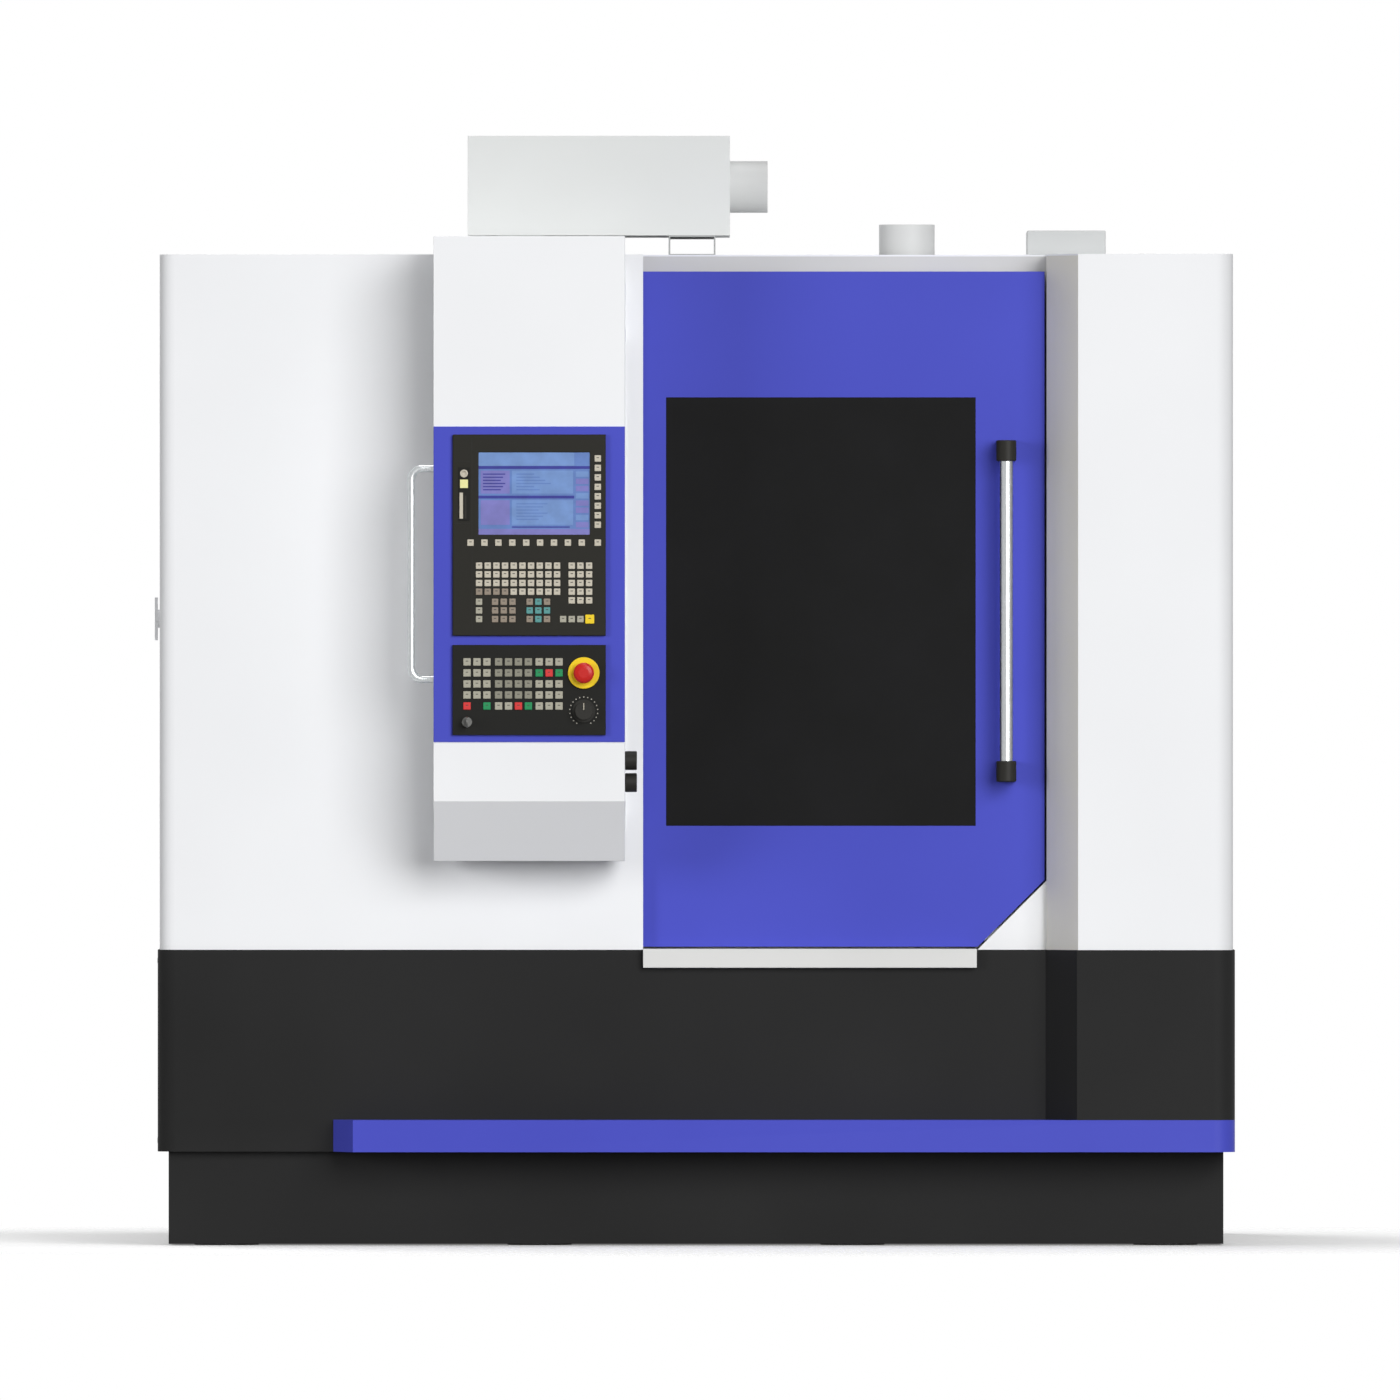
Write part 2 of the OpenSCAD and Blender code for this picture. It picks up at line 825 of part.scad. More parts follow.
module lower_right_panel() color(black) mirror([1, 0, 0]) lower_side();

module lower_rear_panel() color(black) {
    y1 = rear_plane + proud;
    block([-half_w - proud, y1 - sheet, plinth_z], [half_w + proud, y1, belt_z]);
    for (z = [plinth_z, belt_z - sheet])
        block([-frame_x, frame_y1, z], [frame_x, y1, z + sheet]);
}

// Blue kick strip with angled return, ledge and wrapped right corner
module kick_strip() color(blue) {
    y0 = p1 - proud;
    y1 = p2 - proud;
    x1 = kick_x0 + kick_slope;
    kick_line = concat([[kick_x0, y0], [x1, y1]], shifted(right_line, -proud));
    difference() {
        folded(kick_line, plinth_z, plinth_z + kick_h);
        block([kick_x0, y0, plinth_z - over], [return_x0, y0 + sheet, plinth_z + kick_h + over]);
    }
    translate([0, 0, plinth_z + kick_h - sheet])
        linear_extrude(sheet)
            polygon([[kick_x0, y0], [x1, y1], [return_x1, y1], [return_x0, y0]]);
}

module front_left_panel() color(white) {
    folded(concat(left_line, [[open_x0, p1], [open_x0, door_front - door_play]]), belt_z, roof_under);
}

// Right front panel with the gusset under the door's corner cut
module front_right_panel() color(white) {
    x0 = door_x1 - door_cut - door_lift + door_gap * sqrt(2);
    x1 = return_x0 + sheet;
    folded(concat([[return_x0, door_frame_y]], return_line, right_line), belt_z, roof_under);
    translate([0, door_front + sheet, belt_z])
        rotate([90, 0, 0])
            linear_extrude(sheet)
                polygon([[x0, 0], [x1, 0], [x1, x1 - x0]]);
}

// Inner frame of the doorway, with the pocket strips that carry the rails
module door_frame() color(white) {
    y0 = door_frame_y;
    y1 = y0 + sheet;
    block([pocket_x0, y0, open_z1], [return_x0, y1, roof_under]);
    block([pocket_x0, y0, belt_z - sheet - sill_h], [return_x0, y1, open_z0]);
    block([open_x0 - door_lap, y0, open_z0], [open_x0, y1, open_z1]);
    block([open_x1, y0, open_z0], [return_x0, y1, open_z1]);
    difference() {
        block([open_x0 - sheet, y0, open_z0 - sheet], [open_x1 + sheet, y1 + flange, open_z1 + sheet]);
        block([open_x0, y0 - over, open_z0], [open_x1, y1 + flange + over, open_z1]);
        for (x = door_post_x)
            block([x, y1, 0], [x + frame_tube, y1 + flange + over, roof_z]);
    }
}

// Folded sill below the door
module sill() color(white) {
    y0 = p1 - sill_out;
    translate([open_x0, 0, 0])
        rotate([90, 0, 90])
            linear_extrude(open_x1 - open_x0)
                polygon([[y0 + flange, sill_z0], [y0, sill_z0], [y0, sill_z1], [door_frame_y, sill_z1],
                    [door_frame_y, sill_z1 - sheet], [y0 + sheet, sill_z1 - sheet],
                    [y0 + sheet, sill_z0 + sheet], [y0 + flange, sill_z0 + sheet]]);
}

// Hinge of the service door
side_door_y1 = side_door_y0 + side_door_w;
side_door_z1 = side_door_z0 + side_door_h;
side_hinge_r = 5;
side_pin_r = 2.5;
side_hinge_x = -half_w - side_hinge_r;
side_hinge_y = side_door_y1 + side_hinge_in;
side_knuckle = 60;
side_leaf = 36;
side_hinge_z = [side_door_z0 + side_hinge_end, side_door_z1 - side_hinge_end - side_knuckle];

module left_side_panel() color(white) {
    difference() {
        block([-half_w, side_y0, belt_z], [-half_w + sheet, rear_plane - sheet, roof_under]);
        block([-half_w - over, side_door_y0, side_door_z0],
            [-half_w + sheet + over, side_door_y1, side_door_z1]);
    }
    for (z = side_hinge_z) {
        translate([side_hinge_x, side_hinge_y, z - side_knuckle / 2])
            cylinder(r = side_pin_r, h = 2 * side_knuckle);
        for (s = [z - side_knuckle / 2, z + side_knuckle]) {
            translate([side_hinge_x, side_hinge_y, s])
                cylinder(r = side_hinge_r, h = side_knuckle / 2);
            block([-half_w - sheet, side_hinge_y, s],
                [-half_w, side_hinge_y + side_leaf, s + side_knuckle / 2]);
        }
    }
}

module right_side_panel() color(white) {
    block([half_w - sheet, side_y0, belt_z], [half_w, rear_plane - sheet, roof_under]);
}

// Rear panel with two columns of ventilation louvres
module rear_panel() color(white) {
    louvre_pitch = 40;
    louvre_slot = 8;
    louvre_lift = 200;
    difference() {
        block([-half_w, rear_plane - sheet, belt_z], [half_w, rear_plane, roof_under]);
        for (x = [-half_w / 2, half_w / 2], i = [0 : louvre_count - 1])
            translate([x - louvre_w / 2, rear_plane - sheet - over, belt_z + louvre_lift + i * louvre_pitch])
                cube([louvre_w, sheet + 2 * over, louvre_slot]);
    }
}

module roof_panel() color(white) {
    translate([0, 0, roof_under])
        difference() {
            linear_extrude(sheet)
                polygon(concat(left_line, [[open_x0, p1], [open_x0, door_frame_y],
                    [return_x0, door_frame_y]], return_line, right_line,
                    [[half_w, rear_plane], [-half_w, rear_plane]]));
            translate([duct_x, duct_y, -over])
                cylinder(d = duct_d - 2 * duct_wall, h = sheet + 2 * over);
        }
}

// Drip floor and back wall of the work area
module work_area_liner() color(grey) {
    difference() {
        block([liner_x0, frame_y0 + frame_tube, liner_z], [liner_x1, liner_y + sheet, liner_z + sheet]);
        translate([work_x, work_y, liner_z - over])
            cylinder(r = table_base_r + liner_ring, h = sheet + 2 * over);
    }
    block([liner_x0, liner_y, liner_z], [liner_x1, liner_y + sheet, open_z1]);
}

// Rails that carry the sliding door
module door_rails() color(metal) {
    for (z = [lower_rail_z, upper_rail_z])
        block([pocket_x0, door_frame_y - rail_t, z], [return_x0 - door_gap, door_frame_y, z + rail_h]);
}

// Door pan with window opening, folded rim and guide shoes
module door_panel() color(blue) {
    outline = [[door_x0, door_z0], [door_x1 - door_cut, door_z0], [door_x1, door_z0 + door_cut],
        [door_x1, door_z1], [door_x0, door_z1]];
    rim = shifted(concat(outline, [outline[0], outline[1]]), door_rim);
    pocket = [for (i = [1 : 5]) rim[i]];
    difference() {
        translate([0, door_back, 0]) rotate([90, 0, 0]) linear_extrude(door_t) polygon(outline);
        translate([0, door_back + over, 0])
            rotate([90, 0, 0])
                linear_extrude(door_t - sheet + over)
                    difference() {
                        polygon(pocket);
                        translate([window_x0 - door_rim, window_z0 - door_rim])
                            square([window_x1 - window_x0 + 2 * door_rim,
                                window_z1 - window_z0 + 2 * door_rim]);
                    }
        block([window_x0, door_front - over, window_z0], [window_x1, door_back + over, window_z1]);
    }
    for (x = [door_x0 + door_rim, window_x1 - shoe_w], z = [lower_rail_z, upper_rail_z])
        for (s = [z - slide_fit - shoe_lip, z + rail_h + slide_fit])
            block([x, door_back - door_rim, s], [x + shoe_w, door_frame_y - rail_t / 2, s + shoe_lip]);
}

module door_window() color([0.1, 0.1, 0.1]) {
    block([window_x0, door_front, window_z0], [window_x1, door_front + glass_t, window_z1]);
}

module door_handle() color(metal) {
    translate([handle_x, handle_y, handle_z0 + cap_h / 2])
        cylinder(d = handle_d, h = handle_z1 - handle_z0 - cap_h);
}

// Handle caps, with a round nose and a socket for the tube
module handle_caps() color(black) {
    for (z = [handle_z0, handle_z1 - cap_h])
        difference() {
            union() {
                translate([handle_x, handle_y, z]) cylinder(d = cap_w, h = cap_h);
                block([handle_x - cap_w / 2, handle_y, z], [handle_x + cap_w / 2, door_front, z + cap_h]);
            }
            translate([handle_x, handle_y, handle_z0 + cap_h / 2])
                cylinder(d = handle_d, h = handle_z1 - handle_z0 - cap_h);
        }
}

// Hinge bracket of the pendant
bracket_z = [pend_z0 + hinge_end, pend_z1 - hinge_end - knuckle_h];
module pendant_bracket() color(white) {
    block([hinge_x - hinge_r, p1 - bracket_t, bracket_z[0] - knuckle_h],
        [hinge_x + hinge_r, p1, bracket_z[1] + 2 * knuckle_h]);
    for (z = bracket_z) {
        translate([hinge_x, hinge_y, z - knuckle_h / 2]) cylinder(r = hinge_pin_r, h = 2 * knuckle_h);
        for (s = [z - knuckle_h / 2, z + knuckle_h]) {
            translate([hinge_x, hinge_y, s]) cylinder(r = hinge_r, h = knuckle_h / 2);
            block([hinge_x - hinge_r, hinge_y, s], [hinge_x + hinge_r, p1, s + knuckle_h / 2]);
        }
    }
}

// Side outline of the pendant, inset by a wall
function pendant_side(w) = [[pend_back - w, pend_z0 + w], [pend_front + slope_in + w, pend_z0 + w],
    [pend_front + w, slope_z + w], [pend_front + w, pend_z1 - w], [pend_back - w, pend_z1 - w]];

module pendant_housing() color(white) {
    difference() {
        translate([pend_x0, 0, 0])
            rotate([90, 0, 90]) linear_extrude(pend_x1 - pend_x0) polygon(pendant_side(0));
        translate([pend_x0 + pend_wall, 0, 0])
            rotate([90, 0, 90])
                linear_extrude(pend_x1 - pend_x0 - 2 * pend_wall) polygon(pendant_side(pend_wall));
        stem_hole();
    }
    for (z = bracket_z)
        difference() {
            union() {
                translate([hinge_x, hinge_y, z]) cylinder(r = hinge_r - knuckle_play, h = knuckle_h);
                block([hinge_x - hinge_r / 2, pend_back, z], [hinge_x + hinge_r / 2, hinge_y, z + knuckle_h]);
            }
            translate([hinge_x, hinge_y, z - over])
                cylinder(r = hinge_pin_r + run_fit, h = knuckle_h + 2 * over);
        }
}

// Hole for the emergency stop stem
module stem_hole() {
    y_cyl([estop_x, panel_front - collar_t - over, estop_z], stem_d / 2 + slide_fit,
        collar_t + panel_t + plate_t + pend_wall + 2 * over);
}

module pendant_faceplate() color(blue) {
    difference() {
        block([pend_x0, plate_front, plate_z0], [pend_x1, pend_front, plate_z1]);
        stem_hole();
    }
}

module operator_panel() color(black) {
    difference() {
        block([panel_x0, panel_front, op_z0], [panel_x1, plate_front, op_z1]);
        block([screen_x0, panel_front - over, screen_z0],
            [screen_x0 + screen_w, plate_front - sheet, screen_z1]);
    }
}

module screen() color([0.44, 0.56, 0.82]) {
    block([screen_x0, panel_front + screen_sink, screen_z0],
        [screen_x0 + screen_w, plate_front - sheet, screen_z1]);
}

// Grid of keys: columns, rows, first centre, spacing and width
module keys(columns, rows, x, z, dx, dz, w) {
    for (i = [0 : columns - 1], j = [0 : rows - 1])
        block([x + i * dx - w / 2, panel_front - key_rise, z - j * dz - w / 2],
            [x + i * dx + w / 2, panel_front, z - j * dz + w / 2]);
}

module operator_keys() color(white) {
    left = panel_x0 + alpha_in;
    right = panel_x1 - digit_in;
    top = op_z1 - alpha_drop;
    low = op_z1 - lower_drop;
    keys(1, 8, panel_x1 - soft_in, op_z1 - soft_drop, 0, soft_pitch, key_w);
    keys(9, 1, panel_x0 + row_in, op_z1 - row_drop, row_pitch, 0, key_w);
    keys(1, 1, panel_x1 - soft_in, op_z1 - row_drop, 0, 0, key_w);
    keys(10, 4, left, top, key_pitch, key_pitch, key_w);
    keys(3, 5, right, top, key_pitch, key_pitch, key_w);
    keys(1, 3, left, low, 0, key_pitch, key_w);
    keys(3, 3, left + second_in, low, key_pitch, key_pitch, key_w);
    keys(3, 3, left + cursor_in, low, key_pitch, key_pitch, key_w);
    keys(3, 1, right - key_pitch, low - 2 * key_pitch, key_pitch, 0, key_w);
    keys(1, 1, right + wide_in, low - 2 * key_pitch, 0, 0, key_w + wide_more);
}

module machine_panel() color(black) {
    difference() {
        block([panel_x0, panel_front, mp_z0], [panel_x1, plate_front, mp_z1]);
        stem_hole();
    }
}

module machine_keys() color(white) {
    left = panel_x0 + mkey_in;
    top = mp_z1 - mkey_drop;
    keys(3, 4, left, top, mkey_pitch, mkey_row, mkey_w);
    keys(2, 1, left, top - 4 * mkey_row, 2 * mkey_pitch, 0, mkey_w);
    keys(4, 5, left + group2_in, top, mkey_pitch, mkey_row, mkey_w);
    keys(3, 5, left + group3_in, top, mkey_pitch, mkey_row, mkey_w);
}

module estop_collar() color([0.95, 0.82, 0.12]) {
    difference() {
        y_cyl([estop_x, panel_front - collar_t, estop_z], collar_d / 2, collar_t);
        stem_hole();
    }
}

// Mushroom button, turned profile
module estop_button() color([0.8, 0.17, 0.16]) {
    stem_l = collar_t + panel_t + plate_t + pend_wall + button_travel + button_gap;
    top = stem_l + button_h;
    translate([estop_x, pend_front + pend_wall, estop_z])
        rotate([90, 0, 0])
            rotate_extrude()
                polygon([[0, 0], [stem_d / 2, 0], [stem_d / 2, stem_l], [button_d / 2 - rim_cut, stem_l],
                    [button_d / 2, stem_l + rim_cut], [button_d / 2, top - 3 * rim_cut],
                    [button_d / 2 - 2 * rim_cut, top - rim_cut], [button_d / 4, top], [0, top]]);
}

// Override knob with a pointer groove
module override_knob() color(black) {
    difference() {
        union() {
            y_cyl([knob_x, panel_front - knob_skirt, knob_z], knob_d / 2, knob_skirt);
            y_cyl([knob_x, panel_front - knob_h, knob_z], knob_d / 2 - knob_step, knob_h);
        }
        block([knob_x - pointer_hw, panel_front - knob_h - over, knob_z],
            [knob_x + pointer_hw, panel_front - knob_h + pointer_h, knob_z + knob_d]);
    }
}

// Key switch barrel with its key
module mode_key() color(metal) {
    key_y = panel_front - barrel_h - key_neck;
    y_cyl([mode_x, panel_front - barrel_h, mode_z], barrel_r, barrel_h);
    block([mode_x - key_t / 2, key_y, mode_z - key_neck / 2],
        [mode_x + key_t / 2, key_y + key_neck, mode_z + key_neck / 2]);
    x_cyl([mode_x - key_t / 2, key_y - key_neck, mode_z], bow_r, key_t);
}

// Rod grip on the left of the pendant: straight rods joined by two bends
module pendant_grip() color(metal) {
    r = grip_d / 2;
    x1 = pend_x0 - grip_out + r;
    x2 = x1 + grip_bend;
    top = grip_z1 - r;
    low = grip_z0 + r;
    translate([0, pend_front + grip_back, 0])
        rotate([90, 0, 0]) {
            for (z = [top, low])
                translate([x2 - over, z, 0]) rotate([0, 90, 0]) cylinder(r = r, h = pend_x0 - x2 + over);
            translate([x1, low + grip_bend - over, 0])
                rotate([-90, 0, 0]) cylinder(r = r, h = top - low - 2 * grip_bend + 2 * over);
            grip_elbow(x2, top - grip_bend, 90);
            grip_elbow(x2, low + grip_bend, 180);
        }
}

// Quarter bend, slightly swollen
module grip_elbow(x, z, a) {
    translate([x, z, 0])
        rotate([0, 0, a])
            rotate_extrude(angle = 90)
                translate([grip_bend, 0]) circle(r = grip_d / 2 + grip_swell);
}

// Capped sockets on the right of the pendant
module side_sockets() color(black) {
    for (i = [0, 1])
        x_cyl([pend_x1, pend_front + socket_back, socket_z + i * socket_pitch], socket_d / 2, socket_l);
}

// Mist collector box with its welded outlet
mist_z0 = roof_z + stand_h;
mist_x1 = mist_x0 + mist_w;
mist_mid = mist_y0 + mist_d / 2;
outlet_z = mist_z0 + mist_h / 2;
module mist_collector() color(grey) {
    difference() {
        union() {
            block([mist_x0, mist_y0, mist_z0], [mist_x1, mist_y0 + mist_d, mist_z0 + mist_h]);
            x_cyl([mist_x1, mist_mid, outlet_z], outlet_d / 2, outlet_l);
        }
        block([mist_x0 + sheet, mist_y0 + sheet, mist_z0 + sheet],
            [mist_x1 - sheet, mist_y0 + mist_d - sheet, mist_z0 + mist_h - sheet]);
        x_cyl([mist_x1 - sheet - over, mist_mid, outlet_z], outlet_d / 2 - duct_wall,
            outlet_l + sheet + 2 * over);
    }
}

// Open rectangular tubes under the mist collector
module mist_stands() color(grey) {
    for (x = [mist_x0 + stand_in, mist_x1 - stand_in / 2 - stand_w])
        difference() {
            block([x, mist_y0, roof_z], [x + stand_w, mist_y0 + mist_d, mist_z0]);
            block([x + sheet, mist_y0 - over, roof_z + sheet],
                [x + stand_w - sheet, mist_y0 + mist_d + over, mist_z0 - sheet]);
        }
}

duct_y = mist_y0 + mist_d / 2;
module roof_duct() color(metal) {
    translate([duct_x, duct_y, roof_z])
        difference() {
            union() {
                cylinder(d = duct_d, h = duct_h);
                cylinder(d = duct_d + duct_flange, h = sheet);
            }
            translate([0, 0, -over]) cylinder(d = duct_d - 2 * duct_wall, h = duct_h + 2 * over);
        }
}

module roof_box() color(grey) {
    x1 = half_w - rbox_gap;
    block([x1 - rbox_w, mist_y0, roof_z], [x1, mist_y0 + rbox_d, roof_z + rbox_h]);
}

module x_rails() color(metal) {
    for (s = [-1, 1])
        block([bed_x0 + rail_end, work_y + s * guide_pitch / 2 - guide_w / 2, bed_z],
            [liner_x0, work_y + s * guide_pitch / 2 + guide_w / 2, rail_top]);
}

// Servo motor with a square flange, axis along +Z from its face
module motor() {
    translate([-motor_w / 2, -motor_w / 2, 0]) cube([motor_w, motor_w, motor_face]);
    translate([0, 0, motor_face]) cylinder(d = motor_w - motor_step, h = motor_l - motor_face);
    translate([motor_w / 2 - motor_step - plug_t, -plug_w / 2, motor_l - plug_in - plug_w])
        cube([plug_t, plug_w, plug_w]);
}

module x_motor() color(black) {
    translate([rib_x1, work_y, screw_z]) rotate([0, -90, 0]) motor();
}

module z_motor() color(black) {
    translate([z_screw_x, work_y, column_z]) motor();
}

module x_screw() color(metal) {
    x_cyl([rib_x1, work_y, screw_z], screw_d / 2, rib_x2 - rib_x1 + rib_t);
}

module z_screw() color(metal) {
    translate([z_screw_x, work_y, z_rib_z - rib_t]) cylinder(d = screw_d, h = column_z - z_rib_z + rib_t);
}

// Guide block with a groove, running along X on a rail whose top is at z = 0
module guide_block(l, w, drop) {
    difference() {
        translate([-l / 2, -w / 2, -drop]) cube([l, w, drop + block_t]);
        translate([-l / 2 - over, -guide_w / 2 - slide_fit, -drop - over])
            cube([l + 2 * over, guide_w + 2 * slide_fit, drop + over]);
    }
}

// Column casting with sloping back, cored inside, box ways and screw trough
module column() color(cast) {
    difference() {
        union() {
            column_profile(0, column_hw);
            for (s = [-1, 1])
                block([column_x1, work_y + s * way_pitch / 2 - guide_w / 2, way_z0],
                    [way_top, work_y + s * way_pitch / 2 + guide_w / 2, way_z1]);
        }
        column_profile(column_wall, column_hw - column_wall);
        y_cyl([column_mid, work_y - column_hw - over, column_z0 + core_hole_z], core_hole_r,
            2 * column_hw + 2 * over);
        block([z_trough_x, work_y - z_trough_hw, z_rib_z],
            [column_x1 + over, work_y + z_trough_hw, column_z - column_wall]);
        translate([z_screw_x, work_y, z_rib_z - rib_t])
            cylinder(r = screw_d / 2 + run_fit, h = column_z - z_rib_z + rib_t + over);
    }
    for (x = [-1, 1], s = [-1, 1])
        translate([column_mid + x * column_l / 3, work_y + s * guide_pitch / 2, rail_top])
            guide_block(block_l, block_w, block_drop);
    difference() {
        block([column_mid - x_nut_hl, work_y - nut_hw, screw_z - nut_hw],
            [column_mid + x_nut_hl, work_y + nut_hw, column_z0]);
        x_cyl([column_mid - x_nut_hl - over, work_y, screw_z], screw_d / 2 + slide_fit,
            2 * x_nut_hl + 2 * over);
    }
}

// Side profile of the column, inset for its core
module column_profile(w, half) {
    front = w == 0 ? column_x1 : z_trough_x - w;
    translate([0, work_y + half, 0])
        rotate([90, 0, 0])
            linear_extrude(2 * half)
                polygon([[column_x0 + w, column_z0 + w], [front, column_z0 + w], [front, column_z - w],
                    [column_x1 - column_top_l + w, column_z - w],
                    [column_x0 + w, column_z0 + column_back_h - w / 2]]);
}

// Vertical carriage with guide blocks, ball nut and swivel bore
pivot_r = 40;
pivot_l = carriage_t - pivot_floor;
module carriage() color(cast) {
    difference() {
        block([carriage_x0, work_y - carriage_hw, head_z - carriage_hh],
            [swivel_x0, work_y + carriage_hw, head_z + carriage_hh]);
        x_cyl([swivel_x0 - pivot_l, work_y, head_z], pivot_r + run_fit, pivot_l + over);
    }
    for (z = [-1, 1], s = [-1, 1])
        translate([way_top, work_y + s * way_pitch / 2, head_z + z * (carriage_hh - block_l / 2)])
            rotate([0, 90, 0]) guide_block(block_l, block_w, block_drop);
    difference() {
        block([z_screw_x - nut_hw + nut_trim, work_y - nut_hw, head_z - z_nut_hl],
            [carriage_x0, work_y + nut_hw, head_z + z_nut_hl]);
        translate([z_screw_x, work_y, head_z - z_nut_hl - over])
            cylinder(r = screw_d / 2 + slide_fit, h = 2 * z_nut_hl + 2 * over);
    }
}

// Swivel disc with clamp screws and the slideway of the shift axis
slide_y0 = work_y - hob_l / 2 - arbor_collar - spindle_l;
slide_y1 = work_y + hob_l / 2 + arbor_collar + outboard_l;
module swivel_head() color(cast) {
    x_cyl([swivel_x0, work_y, head_z], swivel_r, swivel_t);
    x_cyl([swivel_x0 - pivot_l, work_y, head_z], pivot_r, pivot_l);
    block([swivel_x1, slide_y0 + way_end, head_z - shift_hh],
        [slide_x0, slide_y1 - way_end, head_z + shift_hh]);
    ring = swivel_r - clamp_in;
    for (a = [0 : 60 : 300])
        x_cyl([swivel_x1, work_y + ring * cos(a), head_z + ring * sin(a)], clamp_r, clamp_h);
}

// Shift slide with spindle unit and outboard bearing
module shift_slide() color(cast) {
    gib = 22;
    hob_end = hob_l / 2 + arbor_collar;
    difference() {
        union() {
            block([slide_x0, slide_y0, head_z - shift_hh - gib],
                [slide_x1, slide_y1, head_z + shift_hh + gib]);
            for (s = [-1, 1]) {
                gib_z = head_z + s * (shift_hh + gib / 2);
                block([slide_x0 - shift_t / 2, slide_y0 + gib_end, gib_z - gib / 2 + slide_fit],
                    [slide_x0, slide_y1 - gib_end, gib_z + gib / 2 - slide_fit]);
            }
            bearing_housing(slide_y0, spindle_l, spindle_r);
            bearing_housing(work_y + hob_end, outboard_l, spindle_r - outboard_step);
            y_cyl([hob_x, slide_y0 - spindle_motor_l, head_z], spindle_motor_r, spindle_motor_l);
        }
        y_cyl([hob_x, slide_y0 + arbor_in, head_z], arbor_d / 2 + run_fit,
            slide_y1 - slide_y0 - arbor_in + over);
    }
}

// Housing round the hob axis, carried on the slide
module bearing_housing(y, l, r) {
    y_cyl([hob_x, y, head_z], r, l);
    block([slide_x1, y, head_z - r], [hob_x, y + l, head_z + r]);
}

// Hob: tooth rows on a core, each row moved on by its share of one pitch
module hob() color(metal) {
    root_r = hob_d / 2 - tooth_h;
    teeth = floor((hob_l - hob_pitch) / hob_pitch);
    start = -hob_l / 2 + (hob_l - teeth * hob_pitch) / 2;
    translate([hob_x, work_y, head_z])
        difference() {
            union() {
                y_cyl([0, -hob_l / 2, 0], root_r - core_step, hob_l);
                for (i = [0 : hob_rows - 1])
                    rotate([0, i * 360 / hob_rows, 0])
                        translate([0, 0, -row_t / 2])
                            linear_extrude(row_t)
                                hob_comb(root_r, teeth, start + (i / hob_rows - 0.5) * hob_pitch);
            }
            y_cyl([0, -hob_l / 2 - over, 0], arbor_d / 2 + slide_fit, hob_l + 2 * over);
        }
}

// One row of rack teeth, radius along X and length along Y
module hob_comb(root_r, teeth, start) {
    inner = arbor_d / 2 + core_step;
    flank = hob_pitch / 4 - tooth_h * tan(pressure_angle) / 2;
    tip = hob_pitch / 4 + tooth_h * tan(pressure_angle) / 2;
    points = [for (i = [0 : teeth - 1], k = [0 : 3])
        [k == 1 || k == 2 ? root_r + tooth_h : root_r,
            start + i * hob_pitch + [flank, tip, hob_pitch - tip, hob_pitch - flank][k]]];
    polygon(concat([[inner, start], [root_r, start]], points,
        [[root_r, start + teeth * hob_pitch], [inner, start + teeth * hob_pitch]]));
}

// Hob arbor with spacing collars
module hob_arbor() color(metal) {
    y_cyl([hob_x, slide_y0 + arbor_in, head_z], arbor_d / 2, slide_y1 - slide_y0 - arbor_in);
    for (y = [work_y - hob_l / 2 - arbor_collar + slide_fit, work_y + hob_l / 2])
        y_cyl([hob_x, y, head_z], arbor_d / 2 + collar_step, arbor_collar - slide_fit);
}

// Turned table base with its square foot
module table_base() color(cast) {
    neck_r = table_r + neck_step;
    translate([work_x, work_y, bed_z])
        difference() {
            union() {
                translate([-table_base_r, -table_base_r, 0])
                    cube([2 * table_base_r, 2 * table_base_r, base_foot]);
                rotate_extrude()
                    polygon([[0, 0], [table_base_r, 0], [table_base_r, base_foot + base_band],
                        [neck_r, base_foot + base_neck], [neck_r, table_under - bed_z],
                        [0, table_under - bed_z]]);
            }
            translate([0, 0, table_under - bed_z - journal_l])
                cylinder(r = journal_d / 2 + run_fit, h = journal_l + over);
        }
}

// Table plate with radial slots and its journal
module table_plate() color(metal) {
    translate([work_x, work_y, table_under])
        difference() {
            union() {
                cylinder(r = table_r, h = table_t);
                translate([0, 0, -journal_l]) cylinder(d = journal_d, h = journal_l);
            }
            for (a = [0 : 90 : 270])
                rotate([0, 0, a])
                    translate([work_flange_d / 2 + slot_start, -slot_w / 2, table_t - slot_h])
                        cube([table_r, slot_w, slot_h + over]);
        }
}

// Work arbor with flange, cone and centre hole
module work_arbor() color(metal) {
    r = work_arbor_d / 2;
    cone_r = r + shoulder_step;
    top = work_arbor_h;
    translate([work_x, work_y, table_z])
        rotate_extrude()
            polygon([[0, 0], [work_flange_d / 2, 0], [work_flange_d / 2, flange_t],
                [cone_r + shoulder_step, flange_t + arbor_chamfer], [cone_r, shoulder_h], [r, shoulder_h],
                [r, top - arbor_chamfer], [r - arbor_chamfer, top], [centre_hole_r, top],
                [0, top - centre_hole_h]]);
}

// Tailstock column with two ways on its left face
tail_way_y = tail_hw / 2;
module tailstock_column() color(cast) {
    core = column_wall;
    difference() {
        block([tail_x0, work_y - tail_hw, bed_z], [tail_x1, work_y + tail_hw, tail_z]);
        block([tail_x0 + core, work_y - tail_hw + core, bed_z - over],
            [tail_x1 - core, work_y + tail_hw - core, tail_z - core]);
    }
    for (s = [-1, 1])
        block([saddle_x1, work_y + s * tail_way_y - guide_w / 2, tip_z - tail_way_drop],
            [tail_x0, work_y + s * tail_way_y + guide_w / 2, tail_z - tail_way_end]);
}

